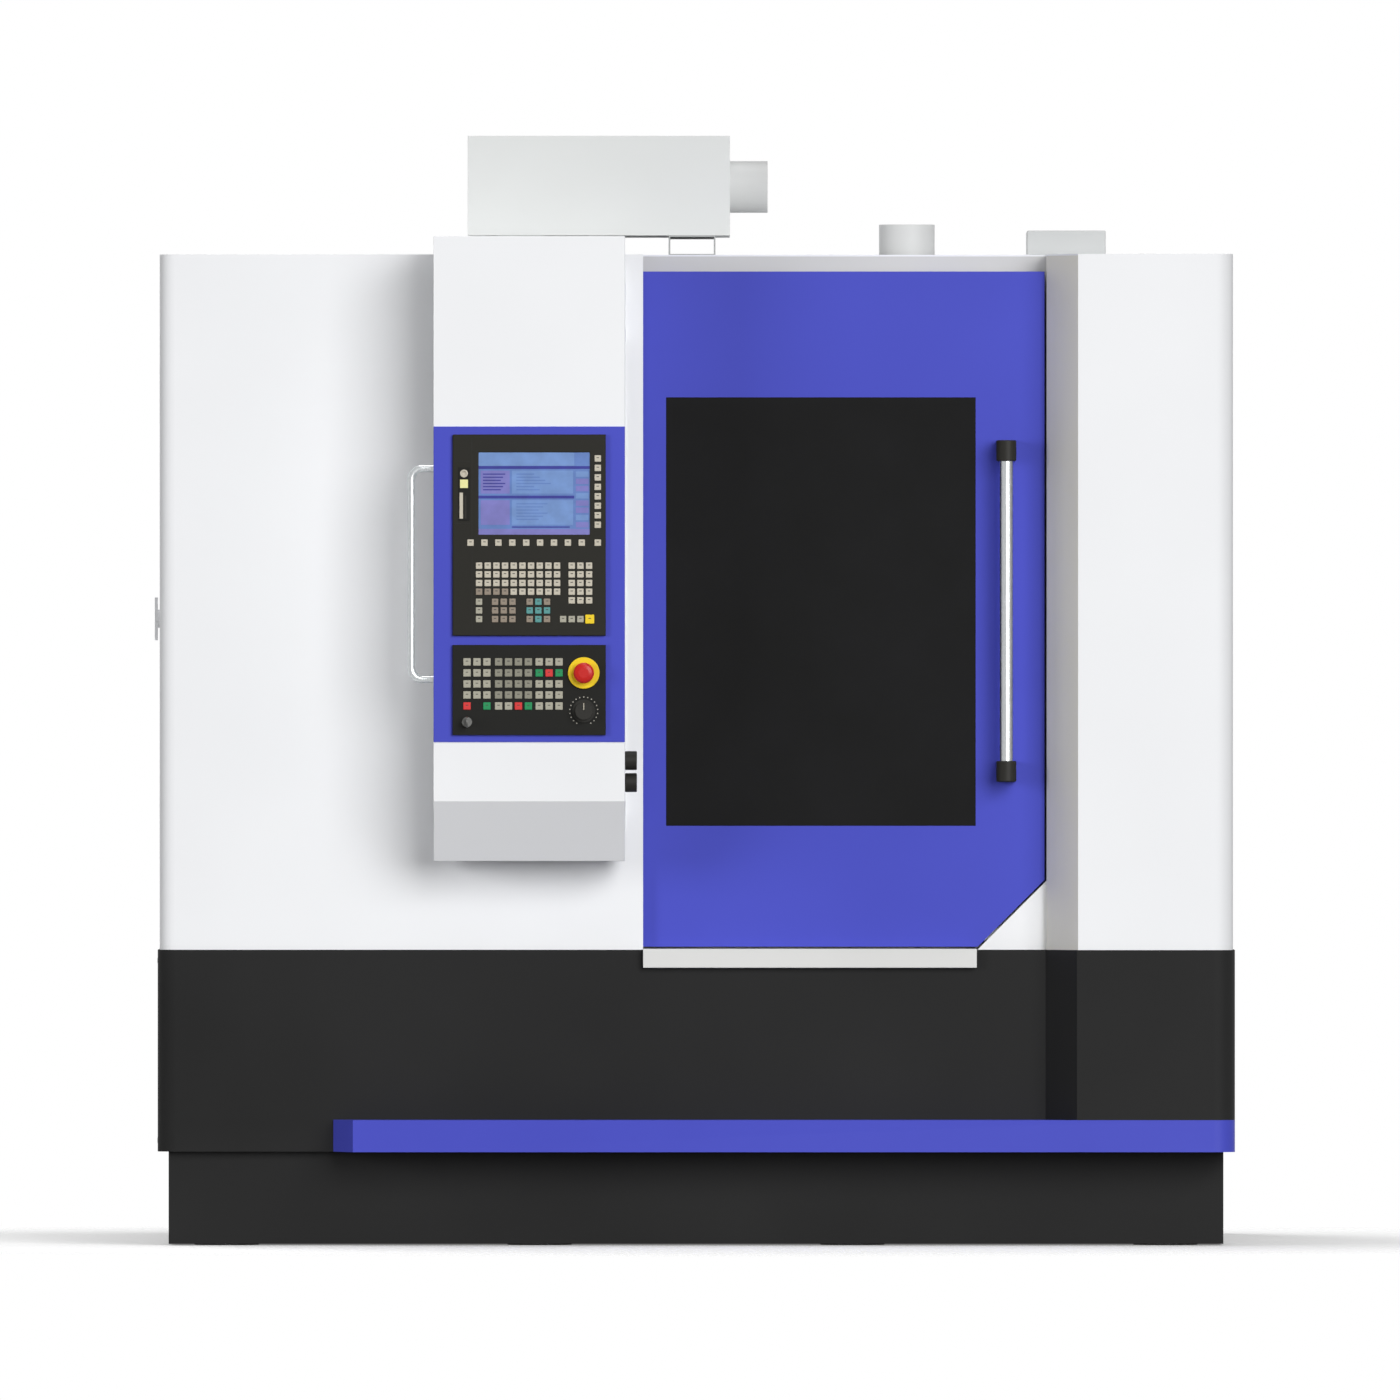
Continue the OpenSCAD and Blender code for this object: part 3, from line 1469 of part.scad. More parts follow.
// Tailstock arm: saddle, tapered arm, boss and quill
module tailstock_arm() color(cast) {
    lip = 18;
    lip_y = tail_way_y + guide_w / 2 + lip / 2 + slide_fit;
    difference() {
        union() {
            block([saddle_x0, work_y - tail_hw, saddle_z - saddle_hh],
                [saddle_x1, work_y + tail_hw, saddle_z + saddle_hh]);
            translate([0, work_y + arm_hw, 0])
                rotate([90, 0, 0])
                    linear_extrude(2 * arm_hw)
                        polygon([[work_x, boss_z], [saddle_x0, saddle_z - saddle_hh + arm_trim],
                            [saddle_x0, saddle_z + saddle_hh - arm_trim], [work_x, boss_z + boss_h]]);
            translate([work_x, work_y, boss_z]) cylinder(r = boss_r, h = boss_h);
            translate([work_x, work_y, quill_z]) cylinder(r = quill_r, h = boss_z - quill_z);
        }
        translate([work_x, work_y, quill_z - over])
            cylinder(r = shank_d / 2 + run_fit, h = boss_z - quill_z + boss_h / 2 + over);
    }
    for (s = [-1, 1])
        block([saddle_x1, work_y + s * lip_y - lip / 2, saddle_z - saddle_hh],
            [tail_x0 - slide_fit, work_y + s * lip_y + lip / 2, saddle_z + saddle_hh]);
}

// Live centre with its cone
module live_centre() color(metal) {
    head = quill_r - nose_step;
    top = boss_z - tip_z + boss_h / 2 - shank_gap;
    neck = quill_z - tip_z;
    translate([work_x, work_y, tip_z])
        rotate_extrude()
            polygon([[0, 0], [head - cone_step, cone_l], [head, cone_l], [head, neck - slide_fit],
                [shank_d / 2, neck - slide_fit], [shank_d / 2, top], [0, top]]);
}

// Service door pan with its hinge knuckles
module side_door() color(white) {
    g = side_door_gap;
    difference() {
        block([-half_w, side_door_y0 + g, side_door_z0 + g],
            [-half_w + side_door_t, side_door_y1 - g, side_door_z1 - g]);
        block([-half_w + sheet, side_door_y0 + g + sheet, side_door_z0 + g + sheet],
            [-half_w + side_door_t + over, side_door_y1 - g - sheet, side_door_z1 - g - sheet]);
        x_cyl([-half_w - over, latch_y, latch_z], latch_stem_r + run_fit, sheet + 2 * over);
    }
    for (z = side_hinge_z)
        difference() {
            union() {
                translate([side_hinge_x, side_hinge_y, z]) cylinder(r = side_hinge_r, h = side_knuckle);
                block([-half_w - sheet, side_hinge_y - side_leaf, z],
                    [-half_w, side_hinge_y, z + side_knuckle]);
            }
            translate([side_hinge_x, side_hinge_y, z - over])
                cylinder(r = side_pin_r + run_fit, h = side_knuckle + 2 * over);
        }
}

// Turning latch of the service door
latch_y = side_door_y0 + latch_in;
latch_stem_r = 9;
module side_latch() color(grey) {
    base_t = latch_out / 2;
    base_r = 18;
    tail = 8;
    half = 8;
    x_cyl([-half_w - base_t, latch_y, latch_z], base_r, base_t);
    x_cyl([-half_w - base_t, latch_y, latch_z], latch_stem_r, base_t + sheet + tail);
    block([-half_w - latch_out, latch_y - half, latch_z - latch_h / 2],
        [-half_w - base_t, latch_y + half, latch_z + latch_h / 2]);
}

bed();
levelling_feet();
enclosure_frame();
lower_front_panel();
lower_left_panel();
lower_right_panel();
lower_rear_panel();
kick_strip();
front_left_panel();
front_right_panel();
door_frame();
sill();
left_side_panel();
right_side_panel();
rear_panel();
roof_panel();
work_area_liner();
door_rails();
x_rails();
x_motor();
table_base();
tailstock_column();
pendant_bracket();
mist_collector();
mist_stands();
roof_duct();
roof_box();
door_panel();
door_window();
door_handle();
handle_caps();
pendant_housing();
pendant_faceplate();
operator_panel();
screen();
operator_keys();
machine_panel();
machine_keys();
estop_collar();
pendant_grip();
side_sockets();
estop_button();
override_knob();
mode_key();
column();
z_motor();
x_screw();
z_screw();
carriage();
swivel_head();
shift_slide();
hob();
hob_arbor();
table_plate();
work_arbor();
tailstock_arm();
live_centre();
side_door();
side_latch();
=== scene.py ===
import math

import bmesh
import bpy
from mathutils import Matrix, Vector


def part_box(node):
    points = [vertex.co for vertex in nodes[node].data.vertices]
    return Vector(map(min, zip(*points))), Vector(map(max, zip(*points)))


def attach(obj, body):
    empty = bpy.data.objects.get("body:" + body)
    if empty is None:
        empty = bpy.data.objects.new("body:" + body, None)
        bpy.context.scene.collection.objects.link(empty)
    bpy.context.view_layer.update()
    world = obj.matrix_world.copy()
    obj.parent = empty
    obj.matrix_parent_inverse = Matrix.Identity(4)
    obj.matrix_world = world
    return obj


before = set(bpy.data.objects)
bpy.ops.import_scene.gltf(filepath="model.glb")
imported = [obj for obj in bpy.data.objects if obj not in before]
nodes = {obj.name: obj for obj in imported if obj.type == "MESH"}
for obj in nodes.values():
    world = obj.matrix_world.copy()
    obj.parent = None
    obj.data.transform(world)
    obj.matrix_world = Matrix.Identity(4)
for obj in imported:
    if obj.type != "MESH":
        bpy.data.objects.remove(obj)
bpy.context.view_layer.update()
scene = bpy.context.scene
mm = 0.001
print("stage: frame loaded")


# Turns an sRGB hex value into a linear colour
def linear(hexText):
    channels = [int(hexText[place:place + 2], 16) / 255 for place in (1, 3, 5)]
    return tuple(c / 12.92 if c <= 0.04045 else ((c + 0.055) / 1.055) ** 2.4 for c in channels) + (1.0,)


# Adds a node: settings go to its colour ramp, its sockets or its properties, links to its sockets
def addNode(tree, kind, settings=None, links=None):
    node = tree.nodes.new(kind)
    for key, value in (settings or {}).items():
        if key == "stops":
            for element, (place, colour) in zip(node.color_ramp.elements, value):
                element.position = place
                element.color = colour
        elif key in node.inputs:
            node.inputs[key].default_value = value
        else:
            setattr(node, key, value)
    for key, socket in (links or {}).items():
        tree.links.new(socket, node.inputs[key])
    return node


def newMaterial(name):
    material = bpy.data.materials.new(name)
    material.use_nodes = True
    tree = material.node_tree
    tree.nodes.clear()
    shader = addNode(tree, "ShaderNodeBsdfPrincipled")
    addNode(tree, "ShaderNodeOutputMaterial", links={"Surface": shader.outputs["BSDF"]})
    return material, tree, shader


# What each way of making a surface shows. Grain sizes and depths are in millimetres, stops are the
# shares of the noise for the darker and the paler tone, gloss is how far the roughness strays
surfaceKinds = {
    # baked coat: the tone drifts over a sheet, a fine orange peel shows in gloss and relief
    "coat": {"driftMm": 420, "driftDetail": 2.0, "grainMm": 2.2, "detail": 4.0, "grainRough": 0.6,
             "stops": (0.3, 0.7), "rough": 0.45, "gloss": (-0.05, 0.06), "depthMm": 0.05, "relief": 0.25,
             "specular": 0.25, "metallic": 0.0},
    # worked metal: fine lines along one axis, drawn coarse enough to show
    "metal": {"grainMm": 3.0, "detail": 3.0, "grainRough": 0.7, "stops": (0.3, 0.7), "rough": 0.34,
              "gloss": (-0.06, 0.08), "depthMm": 0.05, "relief": 0.15, "specular": 0.5, "metallic": 1.0},
    # moulded plastic: the even grain of an eroded mould, drawn coarse enough to show
    "plastic": {"grainMm": 0.8, "detail": 5.0, "grainRough": 0.65, "stops": (0.35, 0.65), "rough": 0.45,
                "gloss": (-0.08, 0.08), "depthMm": 0.02, "relief": 0.3, "specular": 0.3, "metallic": 0.0},
    # flat pane: wide smears in gloss, no relief
    "pane": {"grainMm": 160, "detail": 3.0, "grainRough": 0.5, "stops": (0.2, 0.8), "rough": 0.18,
             "gloss": (0.0, 0.04), "specular": 0.08, "metallic": 0.0},
}
noiseSpan = {"From Min": 0.3, "From Max": 0.7}  # most of a noise's values lie between these


def surface(name, kind, tone, shade, **changes):
    look = {**surfaceKinds[kind], **changes}
    material, tree, shader = newMaterial(name)
    place = addNode(tree, "ShaderNodeTexCoord").outputs["Object"]
    if "stretch" in look:
        mapping = addNode(tree, "ShaderNodeMapping", {"Scale": look["stretch"]}, {"Vector": place})
        place = mapping.outputs["Vector"]
    grain = addNode(tree, "ShaderNodeTexNoise",
                    {"Scale": 1 / (look["grainMm"] * mm), "Detail": look["detail"],
                     "Roughness": look["grainRough"]}, {"Vector": place}).outputs["Fac"]
    drift = grain
    if "driftMm" in look:
        drift = addNode(tree, "ShaderNodeTexNoise",
                        {"Scale": 1 / (look["driftMm"] * mm), "Detail": look["driftDetail"]},
                        {"Vector": place}).outputs["Fac"]
    stops = list(zip(look["stops"], (linear(shade), linear(tone))))
    tint = addNode(tree, "ShaderNodeValToRGB", {"stops": stops}, {"Fac": drift})
    tree.links.new(tint.outputs["Color"], shader.inputs["Base Color"])
    smoother, rougher = look["gloss"]
    gloss = addNode(tree, "ShaderNodeMapRange",
                    {**noiseSpan, "To Min": look["rough"] + smoother, "To Max": look["rough"] + rougher},
                    {"Value": grain})
    tree.links.new(gloss.outputs["Result"], shader.inputs["Roughness"])
    if "relief" in look:
        bump = addNode(tree, "ShaderNodeBump", {"Strength": look["relief"], "Distance": look["depthMm"] * mm},
                       {"Height": grain})
        tree.links.new(bump.outputs["Normal"], shader.inputs["Normal"])
    shader.inputs["Specular IOR Level"].default_value = look["specular"]
    shader.inputs["Metallic"].default_value = look["metallic"]
    return material


displayLook = {"cloudMm": 30, "detail": 3.0, "stops": (0.3, 0.7), "dim": 0.8, "rough": 0.3}


# Liquid crystal display, lit from behind: flat fields that glow faintly, a little cloudy
def litDisplay(name, tone, glow):
    material, tree, shader = newMaterial(name)
    place = addNode(tree, "ShaderNodeTexCoord").outputs["Object"]
    clouds = addNode(tree, "ShaderNodeTexNoise",
                     {"Scale": 1 / (displayLook["cloudMm"] * mm), "Detail": displayLook["detail"]},
                     {"Vector": place})
    full = linear(tone)
    dim = tuple(displayLook["dim"] * channel for channel in full[:3]) + (1.0,)
    tint = addNode(tree, "ShaderNodeValToRGB", {"stops": list(zip(displayLook["stops"], (dim, full)))},
                   {"Fac": clouds.outputs["Fac"]})
    tree.links.new(tint.outputs["Color"], shader.inputs["Base Color"])
    tree.links.new(tint.outputs["Color"], shader.inputs["Emission Color"])
    shader.inputs["Emission Strength"].default_value = glow
    shader.inputs["Roughness"].default_value = displayLook["rough"]
    return material


finishes = {
    # powder coat sprayed and baked on steel sheet: an even soft white that mirrors next to nothing
    "whiteCoat": surface("powderCoatWhite", "coat", "#F3F4F6", "#F0F1F3", rough=0.58, specular=0.08),
    # satin paint sprayed on folded sheet: pale cool grey with a dull sheen
    "greyCoat": surface("paintSprayedPaleGrey", "coat", "#D9DBDA", "#D4D6D5"),
    # painted shade on the door frame: a slightly warmer grey that stands in for the shade of the recess above
    # the door
    "headerPaintedShade": surface("paintedShadeDoorFrameGrey", "coat", "#D1D1CE", "#CCCCC9"),
    # satin paint sprayed on rolled tube: a light neutral grey
    "tubeGrey": surface("paintSprayedTubeGrey", "coat", "#CECFCF", "#C9CACA"),
    # satin paint sprayed on a small box: a middle grey
    "boxGrey": surface("paintSprayedMidGrey", "coat", "#C1C3C3", "#BCBEBE"),
    # satin paint sprayed on welded stands: the darkest grey of the roof
    "standGrey": surface("paintSprayedDarkGrey", "coat", "#A9ABAB", "#A3A5A5"),
    # painted shade: the white powder coat of the folded return, given a darker warm tone for a face turned
    # away from the key light; the warm cast cancels the blue light the door throws on it
    "returnPaintedShade": surface("paintedShadeReturnWarmWhite", "coat", "#E6E4D9", "#E1DFD4"),
    # powder coat on the sill: off-white, a little darker and glossier than the panels
    "sillCoat": surface("powderCoatOffWhiteSill", "coat", "#DEDEDC", "#D8D8D6", rough=0.4, grainMm=2.0),
    # powder coat sprayed and baked on steel sheet: strong blue with a low satin sheen
    "blueCoat": surface("powderCoatBlue", "coat", "#4C52C2", "#494FBD", rough=0.42, grainMm=2.0,
                        specular=0.12),
    # textured powder coat: deep matt black with a coarse dry grain
    "blackCoat": surface("powderCoatTexturedBlack", "coat", "#292929", "#252525", rough=0.55, grainMm=1.4,
                         depthMm=0.12, specular=0.08),
    # enamel brushed on grey iron castings: green-grey over a slightly lumpy skin
    "castEnamel": surface("enamelBrushedOnCastIron", "coat", "#A9B3B4", "#9EA9AA", grainMm=9.0, depthMm=0.25),
    # painted shade of the gap between two white sheets: a thin grey line over the joint
    "jointShade": surface("paintedShadeJointGrey", "coat", "#6E6F71", "#646567", rough=0.6, grainMm=2.0),
    # painted shade of the gap between two black sheets: a thin black line over the joint
    "jointShadeDark": surface("paintedShadeJointBlack", "coat", "#121212", "#0E0E0E", rough=0.7, grainMm=2.0,
                         specular=0.05),
    # turned and ground steel: bright, with fine upright lines
    "groundSteel": surface("steelGround", "metal", "#BFC2C6", "#A5A9AE", rough=0.3, stretch=(1.0, 1.0, 0.15)),
    # ground rail steel: bright, with fine lines along its length
    "railSteel": surface("steelRailGround", "metal", "#C4C7CA", "#B4B8BC", stretch=(0.03, 1.0, 1.0)),
    # brass plated in dark nickel: a dull dark metal
    "darkNickel": surface("brassDarkNickelPlated", "metal", "#6B6B69", "#5C5C5A", rough=0.4, grainMm=1.5,
                          stretch=(1.0, 1.0, 0.3)),
    # hot dip galvanised sheet: pale metal with a faint cloudy spangle
    "zincSheet": surface("steelGalvanised", "metal", "#D3D6D8", "#C4C8CA", rough=0.42, grainMm=14.0),
    # drawn stainless tube, polished: bright streaks along the tube
    "polishedTube": surface("stainlessPolished", "metal", "#DCDFE0", "#D2D6D8", rough=0.24, grainMm=2.0,
                            stretch=(1.0, 1.0, 0.05)),
    # polyamide moulded in an eroded mould: warm black with a dull grain
    "blackPlastic": surface("polyamideMouldedBlack", "plastic", "#2A2926", "#242320", rough=0.5, grainMm=0.9,
                            depthMm=0.04, specular=0.2),
    # polyester foil, printed and textured: near black with a hint of brown
    "panelBezel": surface("polyesterFoilBrownBlack", "plastic", "#25241F", "#201F1B", rough=0.5, grainMm=0.7,
                          depthMm=0.03, specular=0.15),
    # polyester foil, printed and textured: a neutral near black
    "machineBezel": surface("polyesterFoilBlack", "plastic", "#1E1E1C", "#1A1A18", rough=0.5, grainMm=0.7,
                            depthMm=0.03, specular=0.12),
    # polyamide moulded smooth: clear yellow with a soft highlight
    "stopYellow": surface("polyamideMouldedYellow", "plastic", "#F4D31F", "#EFCB18", rough=0.35, grainMm=1.2,
                          depthMm=0.01),
    # polyamide moulded smooth: strong red with a soft highlight
    "stopRed": surface("polyamideMouldedRed", "plastic", "#C9231E", "#BF1E1A", rough=0.32, grainMm=1.2,
                       depthMm=0.01),
    # polycarbonate lens, moulded: pale yellow, glossier than what is round it
    "lampPale": surface("polycarbonateLensYellow", "plastic", "#F3EFB0", "#EAE59A", rough=0.3, grainMm=1.0,
                        depthMm=0.01),
    # dark ink, screen printed: dull marks
    "markInk": surface("inkPrintedDark", "plastic", "#4A4742", "#3F3C38", rough=0.6, grainMm=1.0,
                       depthMm=0.01),
    # pale ink, screen printed: dull marks
    "paleInk": surface("inkPrintedPale", "plastic", "#BDB9AF", "#AFABA1", rough=0.6, grainMm=1.0,
                       depthMm=0.01),
    # tinted polycarbonate pane, extruded flat: almost black, with next to no reflection
    "darkPane": surface("polycarbonatePaneTinted", "pane", "#1D1D1E", "#1B1B1B"),
}
# ABS keycaps, moulded in one colour each: a dry, slightly grainy surface
keycapTones = {
    "keyPale": ("#CBC4B4", "#C1BAAA"),
    "keyGrey": ("#AFAC9C", "#A5A293"),
    "keyDim": ("#96897B", "#8C8072"),
    "keyOlive": ("#8F8D7F", "#858375"),
    "keyTeal": ("#5C9C9A", "#53908E"),
    "keyYellow": ("#F5D428", "#EBC91F"),
    "keyRed": ("#D93B3B", "#CC3333"),
    "keyGreen": ("#1F9058", "#1B844F"),
}
for finish, (tone, shade) in keycapTones.items():
    finishes[finish] = surface(finish.replace("key", "absMoulded"), "plastic", tone, shade)
displayTones = {
    "screenBlue": ("#5F7FBF", 0.05),
    "screenPale": ("#7193CB", 0.05),
    "screenLilac": ("#7B79C0", 0.05),
    "screenNavy": ("#2A2E90", 0.04),
}
for finish, (tone, glow) in displayTones.items():
    finishes[finish] = litDisplay(finish.replace("screen", "liquidCrystalLit"), tone, glow)
print("stage: materials made")


# CAD nodes take their finishes
finishOfNode = {
    "whiteCoat": ["front_left_panel", "front_right_panel", "left_side_panel", "right_side_panel",
                  "rear_panel", "roof_panel", "pendant_housing", "pendant_bracket", "side_door",
                  "side_latch"],
    "greyCoat": ["enclosure_frame", "mist_collector"],
    "standGrey": ["mist_stands"],
    "headerPaintedShade": ["door_frame"],
    "tubeGrey": ["roof_duct"],
    "boxGrey": ["roof_box"],
    "sillCoat": ["sill"],
    "blueCoat": ["kick_strip", "door_panel", "pendant_faceplate"],
    "blackCoat": ["bed", "lower_front_panel", "lower_left_panel", "lower_right_panel", "lower_rear_panel"],
    "castEnamel": ["column", "carriage", "swivel_head", "shift_slide", "table_base", "tailstock_column",
                   "tailstock_arm"],
    "groundSteel": ["levelling_feet", "x_screw", "z_screw", "hob", "hob_arbor", "table_plate", "work_arbor",
                    "live_centre"],
    "darkNickel": ["mode_key"],
    "railSteel": ["door_rails", "x_rails"],
    "zincSheet": ["work_area_liner"],
    "polishedTube": ["door_handle", "pendant_grip"],
    "blackPlastic": ["handle_caps", "side_sockets", "override_knob", "x_motor", "z_motor"],
    "panelBezel": ["operator_panel"],
    "machineBezel": ["machine_panel"],
    "stopYellow": ["estop_collar"],
    "stopRed": ["estop_button"],
    "darkPane": ["door_window"],
    "screenBlue": ["screen"],
}
for finish, members in finishOfNode.items():
    for name in members:
        nodes[name].data.materials.clear()
        nodes[name].data.materials.append(finishes[finish])


# Some faces of a node take a second finish
def paintFaces(name, finish, chosen):
    mesh = nodes[name].data
    mesh.materials.append(finishes[finish])
    for face in mesh.polygons:
        if chosen(face):
            face.material_index = len(mesh.materials) - 1


# Faces of the return that turn to the left take the painted shade
shadedReturnFace = {"left": 699 * mm, "right": 763 * mm, "lean": -0.5}  # lean: the normal's share along X
paintFaces("front_right_panel", "returnPaintedShade",
           lambda face: shadedReturnFace["left"] < face.center.x < shadedReturnFace["right"]
           and face.normal.x < shadedReturnFace["lean"])
outletFace = {"left": 69 * mm}
paintFaces("mist_collector", "tubeGrey", lambda face: face.center.x > outletFace["left"])

# Small edge rounds that the solids leave sharp, in millimetres
edgeRounds = {
    "pendant_housing": 4.0, "door_panel": 1.5, "sill": 1.2, "kick_strip": 1.2, "mist_collector": 3.0,
    "roof_box": 3.0, "handle_caps": 3.0, "operator_panel": 2.0, "machine_panel": 2.0, "operator_keys": 1.2,
    "machine_keys": 1.4, "estop_collar": 1.2, "side_sockets": 2.0, "bed": 3.0, "pendant_faceplate": 1.0,
    "door_window": 0.8, "column": 6.0, "carriage": 5.0, "tailstock_arm": 5.0, "tailstock_column": 6.0,
    "table_plate": 2.0, "side_latch": 2.0, "override_knob": 1.0, "levelling_feet": 2.0, "mist_stands": 1.0,
    "swivel_head": 4.0, "shift_slide": 3.0, "table_base": 4.0, "x_motor": 2.0, "z_motor": 2.0,
    "pendant_bracket": 1.0,
}
smoothOnly = ["front_left_panel", "front_right_panel", "lower_front_panel", "lower_left_panel",
              "lower_right_panel"]
edgeStyle = {"join": 0.01 * mm, "crispAngle": math.radians(32), "flatAngle": math.radians(0.5), "segments": 3}


# Joins the loose triangles of a solid and shades all but its crisp edges smooth
def joinTree():
    tree = bpy.data.node_groups.new("joinSolid", "GeometryNodeTree")
    tree.interface.new_socket("Solid", in_out="INPUT", socket_type="NodeSocketGeometry")
    tree.interface.new_socket("Join Distance", in_out="INPUT", socket_type="NodeSocketFloat")
    tree.interface.new_socket("Crisp Angle", in_out="INPUT", socket_type="NodeSocketFloat")
    tree.interface.new_socket("Made", in_out="OUTPUT", socket_type="NodeSocketGeometry")
    source = addNode(tree, "NodeGroupInput")
    joined = addNode(tree, "GeometryNodeMergeByDistance",
                     links={"Geometry": source.outputs["Solid"], "Distance": source.outputs["Join Distance"]})
    plain = addNode(tree, "GeometryNodeRemoveAttribute", {"Name": "custom_normal"},
                    {"Geometry": joined.outputs["Geometry"]})
    smooth = addNode(tree, "GeometryNodeSetShadeSmooth", {"Shade Smooth": True},
                     {"Geometry": plain.outputs["Geometry"]})
    angle = addNode(tree, "GeometryNodeInputMeshEdgeAngle")
    crisp = addNode(tree, "FunctionNodeCompare", {"operation": "GREATER_THAN"},
                    {0: angle.outputs["Unsigned Angle"], 1: source.outputs["Crisp Angle"]})
    shaded = addNode(tree, "GeometryNodeSetShadeSmooth", {"domain": "EDGE", "Shade Smooth": False},
                     {"Geometry": smooth.outputs["Geometry"], "Selection": crisp.outputs["Result"]})
    addNode(tree, "NodeGroupOutput", links={"Made": shaded.outputs["Geometry"]})
    return tree


def inputIds(tree):
    return {item.name: item.identifier for item in tree.interface.items_tree if item.in_out == "INPUT"}


joinSolid = joinTree()
joinIds = inputIds(joinSolid)
for name in [*edgeRounds, *smoothOnly]:
    join = nodes[name].modifiers.new("joinSolid", "NODES")
    join.node_group = joinSolid
    join[joinIds["Join Distance"]] = edgeStyle["join"]
    join[joinIds["Crisp Angle"]] = edgeStyle["crispAngle"]
for name, size in edgeRounds.items():
    flats = nodes[name].modifiers.new("wholeFlats", "DECIMATE")
    flats.decimate_type = "DISSOLVE"
    flats.angle_limit = edgeStyle["flatAngle"]
    flats.delimit = {"MATERIAL"}
    bevel = nodes[name].modifiers.new("edgeRound", "BEVEL")
    bevel.width = size * mm
    bevel.segments = edgeStyle["segments"]
    bevel.limit_method = "ANGLE"
    bevel.angle_limit = edgeStyle["crispAngle"]
    bevel.harden_normals = True
print("stage: nodes dressed")


# Mesh and piece helpers

def meshFrom(bm, name):
    mesh = bpy.data.meshes.new(name)
    bm.to_mesh(mesh)
    bm.free()
    return mesh


def finishPiece(piece, body):
    scene.collection.objects.link(piece)
    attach(piece, body)


def newPiece(name, bm, materials, body):
    mesh = meshFrom(bm, name)
    for material in materials:
        mesh.materials.append(finishes[material])
    finishPiece(bpy.data.objects.new(name, mesh), body)


def addBox(bm, low, high, slot=0):
    low, high = Vector(low), Vector(high)
    place = Matrix.Translation((low + high) / 2) @ Matrix.Diagonal((*(high - low), 1.0))
    made = bmesh.ops.create_cube(bm, size=1.0, matrix=place)
    for face in {f for v in made["verts"] for f in v.link_faces}:
        face.material_index = slot


def breakEdges(bm, width):
    bmesh.ops.bevel(bm, geom=bm.edges[:], offset=width, segments=1, affect="EDGES")


# Joins closed rings of points into a skin
def skinLoops(bm, loops, smooth=False):
    for lower, upper in zip(loops, loops[1:]):
        for i in range(len(lower)):
            j = (i + 1) % len(lower)
            face = bm.faces.new((lower[i], lower[j], upper[j], upper[i]))
            face.smooth = smooth


# Lowest and highest corner of each separate solid in a node
def islandBoxes(node):
    bm = bmesh.new()
    bm.from_mesh(node.data)
    bmesh.ops.remove_doubles(bm, verts=bm.verts, dist=edgeStyle["join"])
    boxes = []
    left = set(bm.verts)
    while left:
        stack = [left.pop()]
        group = []
        while stack:
            vert = stack.pop()
            group.append(vert.co)
            fresh = {edge.other_vert(vert) for edge in vert.link_edges} & left
            left -= fresh
            stack.extend(fresh)
        low = Vector([min(point[axis] for point in group) for axis in range(3)])
        high = Vector([max(point[axis] for point in group) for axis in range(3)])
        boxes.append((low, high))
    bm.free()
    return sorted(boxes, key=lambda box: tuple(box[0]))


# Repeats: one head object on every point of a mesh, made real
def repeatTree():
    tree = bpy.data.node_groups.new("repeatOnPoints", "GeometryNodeTree")
    tree.interface.new_socket("Points", in_out="INPUT", socket_type="NodeSocketGeometry")
    tree.interface.new_socket("Head", in_out="INPUT", socket_type="NodeSocketObject")
    tree.interface.new_socket("Turn", in_out="INPUT", socket_type="NodeSocketVector")
    tree.interface.new_socket("Finish", in_out="INPUT", socket_type="NodeSocketMaterial")
    tree.interface.new_socket("Made", in_out="OUTPUT", socket_type="NodeSocketGeometry")
    source = addNode(tree, "NodeGroupInput")
    head = addNode(tree, "GeometryNodeObjectInfo", links={"Object": source.outputs["Head"]})
    points = addNode(tree, "GeometryNodeMeshToPoints", links={"Mesh": source.outputs["Points"]})
    placed = addNode(tree, "GeometryNodeInstanceOnPoints",
                     links={"Points": points.outputs["Points"], "Instance": head.outputs["Geometry"],
                            "Rotation": source.outputs["Turn"]})
    real = addNode(tree, "GeometryNodeRealizeInstances", links={"Geometry": placed.outputs["Instances"]})
    dressed = addNode(tree, "GeometryNodeSetMaterial",
                      links={"Geometry": real.outputs["Geometry"], "Material": source.outputs["Finish"]})
    addNode(tree, "NodeGroupOutput", links={"Made": dressed.outputs["Geometry"]})
    return tree


repeats = repeatTree()
repeatIds = inputIds(repeats)
unturned = (0.0, 0.0, 0.0)


def repeatPiece(name, places, head, turn, finish, body):
    mesh = bpy.data.meshes.new(name + "Points")
    mesh.from_pydata([tuple(place) for place in places], [], [])
    carrier = bpy.data.objects.new(name + "Carrier", mesh)
    scene.collection.objects.link(carrier)
    modifier = carrier.modifiers.new("repeat", "NODES")
    modifier.node_group = repeats
    modifier[repeatIds["Head"]] = head
    modifier[repeatIds["Turn"]] = turn
    modifier[repeatIds["Finish"]] = finishes[finish]
    made = bpy.data.meshes.new_from_object(carrier.evaluated_get(bpy.context.evaluated_depsgraph_get()))
    made.name = name
    bpy.data.objects.remove(carrier)
    finishPiece(bpy.data.objects.new(name, made), body)


# Keys take their colours by their place on the panels
keyTolerance = 0.01 * mm


def paintKeys(nodeName, slots, pick):
    mesh = nodes[nodeName].data
    mesh.materials.clear()
    for finish in slots:
        mesh.materials.append(finishes[finish])
    keys = islandBoxes(nodes[nodeName])
    tones = [pick(low, high) for low, high in keys]
    for face in mesh.polygons:
        for (low, high), tone in zip(keys, tones):
            inside = [low[axis] - keyTolerance <= face.center[axis] <= high[axis] + keyTolerance
                      for axis in (0, 2)]
            if all(inside):
                face.material_index = slots.index(tone)
                break
    return keys


panelLow, panelHigh = [Vector(corner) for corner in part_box("operator_panel")]
machineLow, machineHigh = [Vector(corner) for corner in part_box("machine_panel")]
